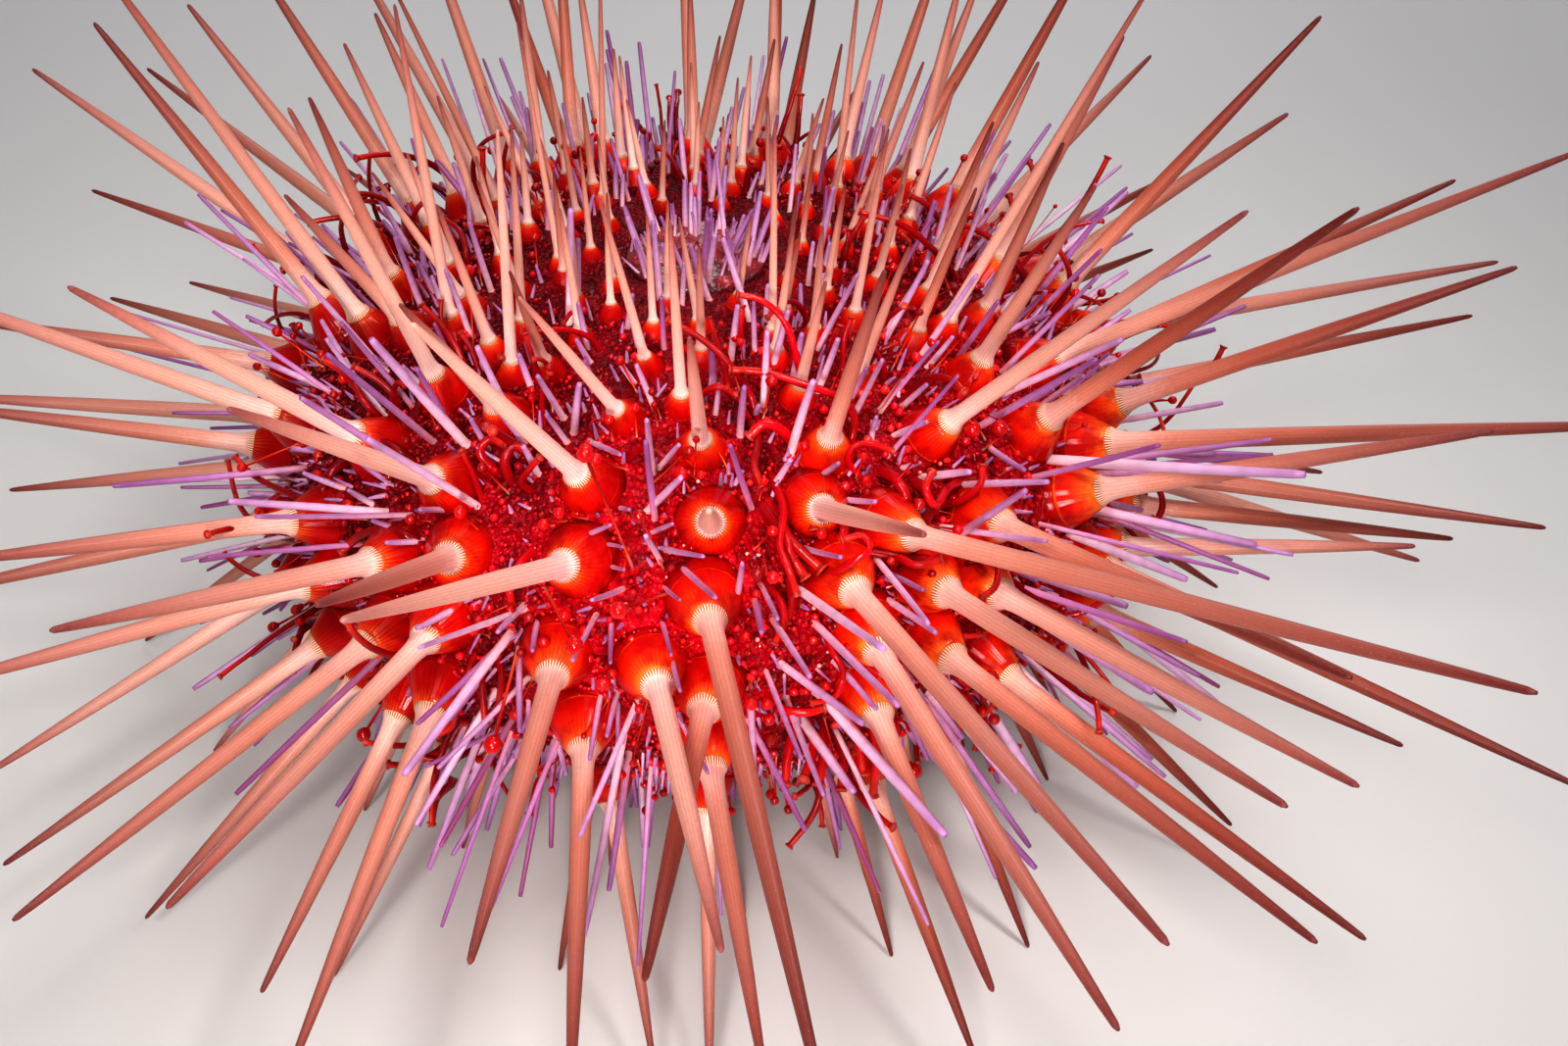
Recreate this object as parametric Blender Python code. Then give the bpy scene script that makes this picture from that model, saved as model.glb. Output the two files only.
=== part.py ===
# A red sea urchin at life size, resting on the blunt tips of the spines of its underside.
#
# The rounded test is parted into its ten zones of plates, five wide interambulacra and five
# narrower ambulacra. The apical disc closes it above, and the peristome with the five teeth
# of the lantern below. Every spine is fused to the zone that it grows from, with its root sunk
# into the test. Longitude is measured round the axis from -Y towards +X, and latitude is the
# profile's own angle, 0 at the widest level, 90 at the top.
import math

import bmesh
import bpy
import numpy as np
from mathutils import Matrix, Vector

# The test
TEST_RADIUS = 0.0525
TEST_RISE = 0.027
TEST_DROP = 0.024
FULLNESS = 0.80
FLOOR_DROP = 0.036
GAP = 0.0003
CORE_RADIUS = 0.0015
RING_STEPS = 30

# The zones of plates
ZONE_SHIFT = -7.0
ZONE_TURN = 72.0
INTER_HALF = 19.0
AMBU_HALF = 17.0
INTER_COLUMN = 8.5
AMBU_COLUMN = 7.5

# The discs at the two poles
APICAL_RADIUS = 0.0090
APICAL_DEPTH = 0.0040
PERIPROCT_RADIUS = 0.0034
PERIPROCT_RISE = 0.0013
GENITAL_RADIUS = 0.0019
GENITAL_RISE = 0.0005
GENITAL_RING = 0.0058
MOUTH_RADIUS = 0.0130
MOUTH_DEPTH = 0.0060
LIPS_RADIUS = 0.0046
LIPS_DROP = 0.0022
TOOTH_REACH = 0.0040
TOOTH_WIDTH = 0.0024

# The spines
PITCH = 0.0083
COLLAR_RADIUS = 0.0034
RING_RADIUS = 0.0018
RING_LIFT = 0.0055
TIP_RADIUS = 0.00050
ROOT_DEPTH = 0.0030
SKIN_SHARE = RING_LIFT / (RING_LIFT + ROOT_DEPTH)
PRIMARY_SIDES = 5
SMALL_SIZE = 0.62
LEAN_SPREAD = 6.0
LEAN_MOST = 17.0
SPINE_GAP = 0.0006
TRIES = 14
SECONDARY_SITES = 1150
SECONDARY_MOST = 290
SECONDARY_RADIUS = 0.00085
SECONDARY_TIP = 0.00030
SECONDARY_DEPTH = 0.0018
SECONDARY_SIDES = 4
SECONDARY_LEAN = 9.0
FOOTING_LATITUDES = (-66.0, -24.0)
FOOTING_OVERRUN = 0.0015
SEED = 41

# Length and girth of the primary spines by latitude: degrees, metres, share of full girth
SPINE_BY_LATITUDE = (
    (-66, 0.014, 0.45),
    (-40, 0.027, 0.70),
    (-15, 0.042, 0.95),
    (10, 0.049, 1.00),
    (32, 0.046, 1.00),
    (48, 0.033, 0.84),
    (60, 0.020, 0.56),
    (78, 0.013, 0.36),
)

# The pose of the largest spines of the side that is seen: longitude and latitude of the root,
# compass bearing and rise of the spine, in degrees, and its length in millimetres
POSED = (
    (2, 40, -1, 41, 41),
    (1, 26, 6, 16, 65),
    (-15, 31, -18, 35, 50),
    (-5, 12, 8, 20, 48),
    (-16, 12, -3, 16, 47),
    (-13, 0, 2, 1, 43),
    (1, -2, 7, 2, 39),
    (1, 53, -5, 59, 27),
    (-3, 61, -7, 74, 28),
    (-14, 58, -33, 56, 28),
    (-16, 45, -29, 54, 41),
    (16, 41, 8, 36, 43),
    (26, 34, 34, 25, 68),
    (18, 28, 15, 18, 62),
    (29, 22, 22, 21, 53),
    (20, 16, 13, 12, 55),
    (28, 9, 27, 13, 52),
    (36, 17, 27, 19, 50),
    (20, 3, 10, 5, 39),
    (36, 60, 29, 71, 22),
    (40, 46, 51, 53, 46),
    (41, 29, 26, 21, 50),
    (52, 69, 38, 83, 25),
    (64, 58, 77, 69, 47),
    (71, 41, 63, 39, 60),
    (65, 24, 57, 24, 57),
    (64, -1, 76, 12, 37),
    (-37, 37, -25, 45, 40),
    (-31, 26, -8, 35, 41),
    (-40, 19, -32, 28, 44),
    (-31, 12, -19, 12, 47),
    (-39, 5, -34, 2, 48),
    (-32, -1, -11, -8, 44),
    (-38, -9, -21, -20, 36),
    (-52, 35, -49, 49, 42),
    (-55, 15, -53, 19, 41),
    (-50, 50, -51, 72, 40),
    (-42, 59, 16, 80, 33),
    (-65, 58, -62, 87, 40),
    (-76, 45, -83, 65, 52),
    (-77, 8, -82, 15, 42),
    (-89, 18, -81, 16, 42),
    (-52, 66, 21, 84, 27),
    (-81, 76, -104, 84, 31),
    (-122, 60, -103, 68, 33),
    (-153, 46, -173, 66, 41),
    (-139, 74, 170, 84, 34),
    (-13, 68, -31, 72, 26),
    (25, 72, -16, 85, 28),
    (134, 46, 134, 63, 33),
    (106, 29, 98, 36, 39),
    (99, 17, 85, 15, 54),
    (133, 66, 158, 81, 29),
    (163, 48, 180, 66, 32),
    (-62, -6, -56, -15, 44),
    (-12, -24, 13, -40, 32),
    (83, 2, 76, -11, 42),
)


def profile(latitude):
    """Radius and height of the test's surface, and its outward normal in the same plane."""
    angle = math.radians(latitude)
    depth = TEST_RISE if latitude >= 0 else TEST_DROP
    radius = TEST_RADIUS * math.cos(angle) ** FULLNESS
    height = math.copysign(depth * abs(math.sin(angle)) ** FULLNESS, latitude)
    power = 2 / FULLNESS - 1
    out = (radius / TEST_RADIUS) ** power / TEST_RADIUS
    up = math.copysign((abs(height) / depth) ** power / depth, latitude)
    size = math.hypot(out, up)
    return radius, height, out / size, up / size


def latitude_at(radius):
    """Latitude, without its sign, where the test has this radius."""
    return math.degrees(math.acos((radius / TEST_RADIUS) ** (1 / FULLNESS)))


def compass(longitude):
    angle = math.radians(longitude)
    return np.array([math.sin(angle), -math.cos(angle), 0.0])


def skin(longitude, latitude):
    """A point of the test's surface and the normal there."""
    radius, height, out, up = profile(latitude)
    away = compass(longitude)
    lift = np.array([0.0, 0.0, 1.0])
    return away * radius + lift * height, away * out + lift * up


def bearing(azimuth, rise):
    """Unit vector from a compass bearing and a rise above the horizontal."""
    angle = math.radians(rise)
    return compass(azimuth) * math.cos(angle) + np.array([0.0, 0.0, math.sin(angle)])


def zones():
    """Name, middle longitude, half width and column offset of each zone of plates."""
    for count in range(5):
        middle = ZONE_SHIFT + count * ZONE_TURN
        yield f"interambulacrum_{count + 1}", middle, INTER_HALF, INTER_COLUMN
        yield f"ambulacrum_{count + 1}", middle + ZONE_TURN / 2, AMBU_HALF, AMBU_COLUMN


def zone_of(longitude):
    """The zone that a longitude falls in, and how far the longitude is from its middle."""
    for name, middle, half, _ in zones():
        turn = (longitude - middle + 180) % 360 - 180
        if abs(turn) < half:
            return name, middle, half, turn
    return None


def inside_parting(longitude, latitude, heading, girth, depth):
    """Whether a root stays inside its own zone, clear of the cuts on both sides."""
    found = zone_of(longitude)
    if found is None:
        return False
    _, middle, half, _ = found
    base, _ = skin(longitude, latitude)
    for side in (-1, 1):
        wall = compass(middle + side * (half - 90))
        for along in (-depth, 0.0, 0.0008):
            if np.dot(base + heading * along, wall) < girth + GAP:
                return False
    return True


class Spines:
    """The spines placed so far, as tapered shafts, for testing that a new one clears them all."""

    def __init__(self):
        self.kept = []
        self.foot = np.zeros((0, 3))
        self.tip = np.zeros((0, 3))
        self.wide = np.zeros(0)
        self.thin = np.zeros(0)

    def clearance(self, foot, tip, wide, thin):
        """Smallest gap between a new tapered shaft and those already there."""
        if not len(self.foot):
            return 1.0
        run, runs = tip - foot, self.tip - self.foot
        between = foot - self.foot
        a, e = run @ run, (runs * runs).sum(1)
        b, c, f = runs @ run, between @ run, (runs * between).sum(1)
        spread = a * e - b * b
        s = np.where(spread > 1e-12, np.clip((b * f - c * e) / np.maximum(spread, 1e-12), 0, 1), 0)
        t = (b * s + f) / e
        s = np.where(t < 0, np.clip(-c / a, 0, 1), np.where(t > 1, np.clip((b - c) / a, 0, 1), s))
        t = np.clip(t, 0, 1)
        near = between + s[:, None] * run - t[:, None] * runs
        radii = wide + (thin - wide) * s + self.wide + (self.thin - self.wide) * t
        return (np.linalg.norm(near, axis=1) - radii).min()

    def place(self, spine):
        """Adds a spine and says so, if all its shafts clear those already there."""
        for foot, tip, wide, thin in spine["shafts"]:
            if self.clearance(foot, tip, wide, thin) < SPINE_GAP:
                return False
        for foot, tip, wide, thin in spine["shafts"]:
            self.foot = np.vstack([self.foot, foot])
            self.tip = np.vstack([self.tip, tip])
            self.wide = np.append(self.wide, wide)
            self.thin = np.append(self.thin, thin)
        self.kept.append(spine)
        return True


def by_latitude(latitude):
    """Length and share of full girth of a primary spine that grows at this latitude."""
    marks, lengths, girths = zip(*SPINE_BY_LATITUDE)
    return float(np.interp(latitude, marks, lengths)), float(np.interp(latitude, marks, girths))


def to_floor(base, heading):
    """Length at which a spine that points down reaches the floor, or a long way if it never does."""
    return (base[2] + FLOOR_DROP) / -heading[2] if heading[2] < -0.05 else 1.0


def primary(longitude, latitude, heading, length, size):
    """A primary spine: a collar cone round its root, then the shaft out to the tip."""
    base, _ = skin(longitude, latitude)
    ring = base + heading * RING_LIFT * size
    tip = base + heading * length
    neck = RING_RADIUS * size
    collar = neck + (COLLAR_RADIUS - RING_RADIUS) * size * SKIN_SHARE
    return {
        "zone": zone_of(longitude)[0], "kind": "primary", "base": base, "heading": heading,
        "length": length, "size": size,
        "shafts": ((base, ring, collar, neck), (ring, tip, neck, TIP_RADIUS)),
    }


def secondary(longitude, latitude, heading, length):
    """A slender secondary spine without a collar."""
    base, _ = skin(longitude, latitude)
    return {
        "zone": zone_of(longitude)[0], "kind": "secondary", "base": base, "heading": heading,
        "length": length, "size": 1.0,
        "shafts": ((base, base + heading * length, SECONDARY_RADIUS, SECONDARY_TIP),),
    }


def leaning(normal, spread, most, draw):
    """A direction that leans from the normal by a drawn angle, most often a small one."""
    lean = math.radians(min(abs(draw.normal(0, spread)), most))
    side = np.cross(normal, bearing(draw.uniform(0, 360), draw.uniform(-60, 60)))
    side /= np.linalg.norm(side)
    return normal * math.cos(lean) + side * math.sin(lean)


def column_sites():
    """Longitude and latitude of the primary tubercles: two staggered columns in each zone."""
    top = latitude_at(APICAL_RADIUS + 0.0032)
    bottom = -latitude_at(MOUTH_RADIUS + 0.0036)
    for _, middle, _, offset in zones():
        for side in (-1, 1):
            for step in (1, -1):
                latitude = 0.0 if side > 0 else 5.0
                if step < 0:
                    latitude -= 10.0
                while bottom < latitude < top:
                    yield middle + side * offset, latitude
                    _, size = by_latitude(latitude)
                    here, there = skin(0, latitude)[0], skin(0, latitude + step)[0]
                    latitude += step * PITCH * (0.35 + 0.65 * size) / np.linalg.norm(there - here)


def grow_primaries(spines, draw):
    """The posed spines first, then the rest of the columns, each leaning clear of the others."""
    for longitude, latitude, azimuth, rise, length in POSED:
        heading = bearing(azimuth, rise)
        size = by_latitude(latitude)[1]
        inward = math.copysign(0.5, -zone_of(longitude)[3])
        while not inside_parting(longitude, latitude, heading, COLLAR_RADIUS * size, ROOT_DEPTH):
            longitude += inward
        spines.place(primary(longitude, latitude, heading, length / 1000, size))
    for longitude, latitude in column_sites():
        usual, size = by_latitude(latitude)
        _, normal = skin(longitude, latitude)
        footing = FOOTING_LATITUDES[0] < latitude < FOOTING_LATITUDES[1]
        for _ in range(TRIES):
            heading = leaning(normal, LEAN_SPREAD, LEAN_MOST, draw)
            length = usual * draw.uniform(0.86, 1.16)
            reach = to_floor(skin(longitude, latitude)[0], heading)
            if footing:
                length = min(length * 1.2, reach + FOOTING_OVERRUN)
            elif length > reach - 0.001:
                length = reach - 0.001
            fits = inside_parting(longitude, latitude, heading, COLLAR_RADIUS * size, ROOT_DEPTH)
            if fits and spines.place(primary(longitude, latitude, heading, length, size)):
                break


def grow_secondaries(spines, draw):
    """Slender spines at sites spread evenly over the test, wherever one fits between the others."""
    golden = math.pi * (3 - math.sqrt(5))
    top = latitude_at(APICAL_RADIUS + 0.0018)
    bottom = -latitude_at(MOUTH_RADIUS + 0.0018)
    placed = 0
    order = draw.permutation(SECONDARY_SITES)
    for count in order:
        share = (count + 0.5) / SECONDARY_SITES
        latitude = math.degrees(math.asin(1 - 2 * share)) * 0.96 + draw.uniform(-1.5, 1.5)
        longitude = math.degrees(count * golden) % 360 - 180 + draw.uniform(-2, 2)
        length = 0.4 * by_latitude(latitude)[0] * draw.uniform(0.75, 1.35)
        heading = leaning(skin(longitude, latitude)[1], SECONDARY_LEAN, LEAN_MOST, draw)
        if not bottom < latitude < top or placed >= SECONDARY_MOST:
            continue
        if not inside_parting(longitude, latitude, heading, SECONDARY_RADIUS, SECONDARY_DEPTH):
            continue
        length = min(length, to_floor(skin(longitude, latitude)[0], heading) - 0.001)
        placed += spines.place(secondary(longitude, latitude, heading, length))


def new_object(name, bm, collection):
    """An object from a bmesh whose faces are made to point outwards."""
    bmesh.ops.recalc_face_normals(bm, faces=bm.faces)
    mesh = bpy.data.meshes.new(name)
    bm.to_mesh(mesh)
    bm.free()
    made = bpy.data.objects.new(name, mesh)
    collection.objects.link(made)
    return made


def turned(sections, sides):
    """A solid turned about +Z: sections are height and radius, closed on the axis at both ends."""
    bm = bmesh.new()
    ends = [(sections[0][0], 0.0), *sections, (sections[-1][0], 0.0)]
    points = [bm.verts.new((radius, 0.0, height)) for height, radius in ends]
    edges = [bm.edges.new(pair) for pair in zip(points, points[1:])]
    bmesh.ops.spin(bm, geom=points + edges, cent=(0, 0, 0), axis=(0, 0, 1),
                   angle=math.tau, steps=sides, use_merge=True)
    bmesh.ops.remove_doubles(bm, verts=bm.verts, dist=1e-7)
    return bm


def spine_object(spine, count, collection):
    """The closed solid of one spine, its root below the skin."""
    size, length = spine["size"], spine["length"]
    if spine["kind"] == "secondary":
        sections = [(-SECONDARY_DEPTH, SECONDARY_RADIUS), (length, SECONDARY_TIP)]
        sides = SECONDARY_SIDES
    elif size < SMALL_SIZE:
        sections = [(-ROOT_DEPTH, COLLAR_RADIUS * size * 0.7), (length, TIP_RADIUS)]
        sides = PRIMARY_SIDES
    else:
        sections = [(-ROOT_DEPTH, COLLAR_RADIUS * size), (RING_LIFT * size, RING_RADIUS * size),
                    (length, TIP_RADIUS)]
        sides = PRIMARY_SIDES
    bm = turned(sections, sides)
    turn = Vector(spine["heading"]).to_track_quat("Z", "Y").to_matrix().to_4x4()
    bmesh.ops.transform(bm, matrix=Matrix.Translation(Vector(spine["base"])) @ turn, verts=bm.verts)
    return new_object(f"spine_{count}", bm, collection)


def apply_boolean(target, operation, operand, solver="EXACT"):
    """Runs one Boolean on the target and keeps its result as the target's mesh."""
    cut = target.modifiers.new("join", "BOOLEAN")
    cut.operation = operation
    cut.solver = solver
    if isinstance(operand, bpy.types.Collection):
        cut.operand_type = "COLLECTION"
        cut.collection = operand
    else:
        cut.object = operand
    view = bpy.context.evaluated_depsgraph_get()
    mesh = bpy.data.meshes.new_from_object(target.evaluated_get(view))
    target.modifiers.remove(cut)
    spare = target.data
    target.data = mesh
    bpy.data.meshes.remove(spare)


def keep_largest(target):
    """Keeps the largest closed surface of the mesh and drops any scrap."""
    bm = bmesh.new()
    bm.from_mesh(target.data)
    bm.verts.ensure_lookup_table()
    unseen, shells = set(bm.verts), []
    while unseen:
        stack = [unseen.pop()]
        shell = set(stack)
        while stack:
            for edge in stack.pop().link_edges:
                for vert in edge.verts:
                    if vert in unseen:
                        unseen.remove(vert)
                        shell.add(vert)
                        stack.append(vert)
        shells.append(shell)
    largest = max(shells, key=len)
    bmesh.ops.delete(bm, geom=[v for v in bm.verts if v not in largest], context="VERTS")
    bm.to_mesh(target.data)
    bm.free()


def ring_sections():
    """Outline of the whole test as height and radius, run down its outer side and up the core."""
    top, bottom = latitude_at(APICAL_RADIUS), -latitude_at(MOUTH_RADIUS)
    outer = [profile(lat) for lat in np.linspace(top, bottom, 13)]
    rim, sill = outer[0][1], outer[-1][1]
    return ([(radius, height) for radius, height, _, _ in outer]
            + [(MOUTH_RADIUS, sill + MOUTH_DEPTH), (CORE_RADIUS, sill + MOUTH_DEPTH),
               (CORE_RADIUS, rim - APICAL_DEPTH), (APICAL_RADIUS, rim - APICAL_DEPTH)])


def test_ring(collection):
    """The whole test as one ring, turned about the axis."""
    bm = bmesh.new()
    loop = [bm.verts.new((radius, 0.0, height)) for radius, height in ring_sections()]
    edges = [bm.edges.new((point, loop[(count + 1) % len(loop)])) for count, point in enumerate(loop)]
    bmesh.ops.spin(bm, geom=loop + edges, cent=(0, 0, 0), axis=(0, 0, 1),
                   angle=math.tau, steps=RING_STEPS, use_merge=True)
    bmesh.ops.remove_doubles(bm, verts=bm.verts, dist=1e-7)
    return new_object("test_ring", bm, collection)


def zone_cutter(middle, half, collection):
    """A wedge that reaches past the test, its two walls set back by half a gap."""
    bm = bmesh.new()
    corner = compass(middle) * (GAP / 2) / math.sin(math.radians(half))
    reach = 2 * TEST_RADIUS
    plan = [corner] + [corner + compass(middle + side * half) * reach for side in (-1, 1)]
    face = bm.faces.new([bm.verts.new((x, y, -TEST_RADIUS)) for x, y, _ in plan])
    walls = bmesh.ops.extrude_face_region(bm, geom=[face])
    bmesh.ops.translate(bm, vec=(0, 0, reach),
                        verts=[part for part in walls["geom"] if isinstance(part, bmesh.types.BMVert)])
    return new_object("zone_cutter", bm, collection)


def remove(objects):
    for item in list(objects):
        bpy.data.objects.remove(item, do_unlink=True)


def material(name, colour, roughness):
    made = bpy.data.materials.new(name)
    made.use_nodes = True
    shader = made.node_tree.nodes["Principled BSDF"]
    shader.inputs["Base Color"].default_value = (*colour, 1)
    shader.inputs["Roughness"].default_value = roughness
    return made


def make_zone(name, middle, half, spines, model, spare):
    """One zone of plates with its spines joined to it, cut level with the floor."""
    body = test_ring(model)
    body.name = body.data.name = name
    apply_boolean(body, "INTERSECT", zone_cutter(middle, half, spare))
    remove(spare.objects)
    for count, spine in enumerate(item for item in spines if item["zone"] == name):
        spine_object(spine, count, spare)
    apply_boolean(body, "UNION", spare)
    remove(spare.objects)
    floor = new_object("below_floor", floor_block(), spare)
    apply_boolean(body, "DIFFERENCE", floor)
    remove(spare.objects)
    keep_largest(body)
    return body


def floor_block():
    """A block whose top is the floor."""
    bm = bmesh.new()
    bmesh.ops.create_cube(bm, size=0.4)
    bmesh.ops.translate(bm, vec=(0, 0, -0.2 - FLOOR_DROP), verts=bm.verts)
    return bm


def make_apical_disc(model, spare):
    """The disc at the top: a plate with the periproct's dome, five genital plates and small spines."""
    rim = profile(latitude_at(APICAL_RADIUS))[1]
    radius = APICAL_RADIUS - GAP
    crown = TEST_RISE - rim
    slope = [(rim, radius), (rim + crown * 0.7, radius * 0.55), (rim + crown, radius * 0.42),
             (rim + crown + PERIPROCT_RISE * 0.8, PERIPROCT_RADIUS * 0.7),
             (rim + crown + PERIPROCT_RISE, PERIPROCT_RADIUS * 0.3)]
    body = new_object("apical_disc", turned([(rim - APICAL_DEPTH + GAP, radius), *slope], 20), model)
    for count in range(5):
        place = compass(ZONE_SHIFT + count * ZONE_TURN) * GENITAL_RING
        plate = turned([(-0.0015, GENITAL_RADIUS), (GENITAL_RISE, GENITAL_RADIUS * 0.85)], 6)
        lift = Matrix.Translation((place[0], place[1], rim + crown * 0.45))
        bmesh.ops.transform(plate, matrix=lift, verts=plate.verts)
        new_object("genital_plate", plate, spare)
        for side in (-1, 1):
            heading = bearing(ZONE_SHIFT + count * ZONE_TURN + side * 26, 72)
            root = compass(ZONE_SHIFT + (count + side * 0.25) * ZONE_TURN) * (radius - 0.0016)
            thorn = turned([(-0.0012, SECONDARY_RADIUS), (0.007 + 0.001 * side, SECONDARY_TIP)],
                           SECONDARY_SIDES)
            turn = Vector(heading).to_track_quat("Z", "Y").to_matrix().to_4x4()
            foot = Matrix.Translation((root[0], root[1], rim + crown * 0.2))
            bmesh.ops.transform(thorn, matrix=foot @ turn, verts=thorn.verts)
            new_object("small_spine", thorn, spare)
    apply_boolean(body, "UNION", spare)
    remove(spare.objects)
    keep_largest(body)
    return body


def make_peristome(model):
    """The soft membrane round the mouth: a low ring that sags to its lips."""
    sill = profile(-latitude_at(MOUTH_RADIUS))[1]
    outer, lips = MOUTH_RADIUS - GAP, LIPS_RADIUS
    ceiling = sill + MOUTH_DEPTH - GAP
    outline = [(outer, ceiling), (outer, sill + 0.0004), (outer * 0.75, sill - LIPS_DROP * 0.6),
               (lips * 1.35, sill - LIPS_DROP), (lips, sill - LIPS_DROP * 0.7), (lips, ceiling)]
    bm = bmesh.new()
    loop = [bm.verts.new((radius, 0.0, height)) for radius, height in outline]
    edges = [bm.edges.new((point, loop[(count + 1) % len(loop)])) for count, point in enumerate(loop)]
    bmesh.ops.spin(bm, geom=loop + edges, cent=(0, 0, 0), axis=(0, 0, 1),
                   angle=math.tau, steps=20, use_merge=True)
    bmesh.ops.remove_doubles(bm, verts=bm.verts, dist=1e-7)
    return new_object("peristome", bm, model)


def make_teeth(model, spare):
    """The five tooth tips that meet in the mouth, standing on the end of the lantern."""
    sill = profile(-latitude_at(MOUTH_RADIUS))[1]
    radius = LIPS_RADIUS - GAP
    ceiling = sill + MOUTH_DEPTH - GAP
    body = new_object("lantern_teeth", turned([(sill + 0.0012, radius), (ceiling, radius)], 20), model)
    for count in range(5):
        longitude = ZONE_SHIFT + count * ZONE_TURN
        tooth = bmesh.new()
        bmesh.ops.create_cone(tooth, cap_ends=True, segments=4, radius1=TOOTH_WIDTH / 2,
                              radius2=TOOTH_WIDTH * 0.16, depth=TOOTH_REACH + 0.002)
        inwards = bearing(longitude + 180, -68)
        turn = Vector(inwards).to_track_quat("Z", "Y").to_matrix().to_4x4()
        middle = compass(longitude) * radius * 0.45
        place = Matrix.Translation((middle[0], middle[1], sill - 0.0006))
        bmesh.ops.transform(tooth, matrix=place @ turn, verts=tooth.verts)
        new_object("tooth", tooth, spare)
    apply_boolean(body, "UNION", spare)
    remove(spare.objects)
    keep_largest(body)
    return body


remove(bpy.data.objects)
model = bpy.data.collections.new("red_sea_urchin")
spare = bpy.data.collections.new("spare")
bpy.context.scene.collection.children.link(model)
bpy.context.scene.collection.children.link(spare)

draw = np.random.default_rng(SEED)
spines = Spines()
grow_primaries(spines, draw)
grow_secondaries(spines, draw)

inter_red = material("interambulacrum_red", (0.42, 0.06, 0.05), 0.45)
ambu_red = material("ambulacrum_red", (0.30, 0.03, 0.05), 0.45)
for name, middle, half, _ in zones():
    zone = make_zone(name, middle, half, spines.kept, model, spare)
    zone.data.materials.append(inter_red if half == INTER_HALF else ambu_red)
make_apical_disc(model, spare).data.materials.append(material("apical_red", (0.35, 0.02, 0.02), 0.40))
make_peristome(model).data.materials.append(material("peristome_maroon", (0.20, 0.02, 0.03), 0.50))
make_teeth(model, spare).data.materials.append(material("tooth_white", (0.85, 0.80, 0.70), 0.35))
bpy.data.collections.remove(spare)

# The origin is the middle of the footprint, on the floor
corners = np.array([item.bound_box[k] for item in model.objects for k in (0, 6)])
low, high = corners.min(0), corners.max(0)
shift = Matrix.Translation((-(low[0] + high[0]) / 2, -(low[1] + high[1]) / 2, FLOOR_DROP))
for item in model.objects:
    item.data.transform(shift)
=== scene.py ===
# A red sea urchin at life size, at rest on a pale studio floor.
#
# The script goes over the animal as it is built: the setting, the skin of the test, the primary
# spines with their muscle collars, the secondary and miliary spines, the tube feet, the
# pedicellariae, the beads of the skin, and the two poles.
import math

import bmesh
import bpy
import numpy as np
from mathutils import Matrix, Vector, noise


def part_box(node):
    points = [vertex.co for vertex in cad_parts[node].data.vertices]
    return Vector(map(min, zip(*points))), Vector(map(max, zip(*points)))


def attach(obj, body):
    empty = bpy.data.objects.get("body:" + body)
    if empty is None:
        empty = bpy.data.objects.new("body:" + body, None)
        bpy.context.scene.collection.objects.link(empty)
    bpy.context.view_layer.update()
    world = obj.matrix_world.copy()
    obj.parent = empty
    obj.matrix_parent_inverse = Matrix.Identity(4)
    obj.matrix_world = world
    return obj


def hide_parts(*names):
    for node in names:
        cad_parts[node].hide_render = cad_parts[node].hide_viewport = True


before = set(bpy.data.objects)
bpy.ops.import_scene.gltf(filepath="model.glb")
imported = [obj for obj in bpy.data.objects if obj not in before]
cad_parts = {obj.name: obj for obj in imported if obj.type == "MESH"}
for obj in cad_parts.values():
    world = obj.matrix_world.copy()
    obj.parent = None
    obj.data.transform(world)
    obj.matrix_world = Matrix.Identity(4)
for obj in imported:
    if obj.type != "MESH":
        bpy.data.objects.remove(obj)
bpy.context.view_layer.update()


# The setting: a floor of pale paper that turns up into a wall behind. One large soft light hangs
# overhead and one stands behind, three small ones shine from the camera's side, and the surround
# is pale.
class Value:
    """A socket of a node tree. Arithmetic on it adds Math nodes to the tree."""

    def __init__(self, nodes, socket):
        self.nodes, self.socket = nodes, socket

    def math(self, operation, *others):
        inputs = dict(enumerate((self, *others)))
        return self.nodes.add("ShaderNodeMath", inputs, operation=operation)

    def wave(self):
        """The sine of the value, brought between 0 and 1."""
        return self.math("SINE") * 0.5 + 0.5

    def other(self, name):
        """Another output of the same node."""
        return Value(self.nodes, self.socket.node.outputs[name])

    def __add__(self, other):
        return self.math("ADD", other)

    def __mul__(self, other):
        return self.math("MULTIPLY", other)

    def __sub__(self, other):
        return self.math("SUBTRACT", other)

    def __rsub__(self, other):
        return self * -1 + other

    def __pow__(self, other):
        return self.math("POWER", other)

    __radd__, __rmul__ = __add__, __mul__


class Nodes:
    """A node tree under construction."""

    def __init__(self, tree):
        self.tree = tree

    def add(self, kind, sockets=None, out=0, stops=None, **settings):
        """Adds a node: its type, its settings, then the values or links of its sockets."""
        made = self.tree.nodes.new(kind)
        for key, value in settings.items():
            setattr(made, key, value)
        if stops:
            ramp = made.color_ramp
            while len(ramp.elements) < len(stops):
                ramp.elements.new(1.0)
            for element, (place, colour) in zip(ramp.elements, stops):
                element.position, element.color = place, (*colour, 1)
        for key, value in (sockets or {}).items():
            if isinstance(value, Value):
                self.tree.links.new(value.socket, made.inputs[key])
            else:
                made.inputs[key].default_value = value
        return Value(self, made.outputs[out])


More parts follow.
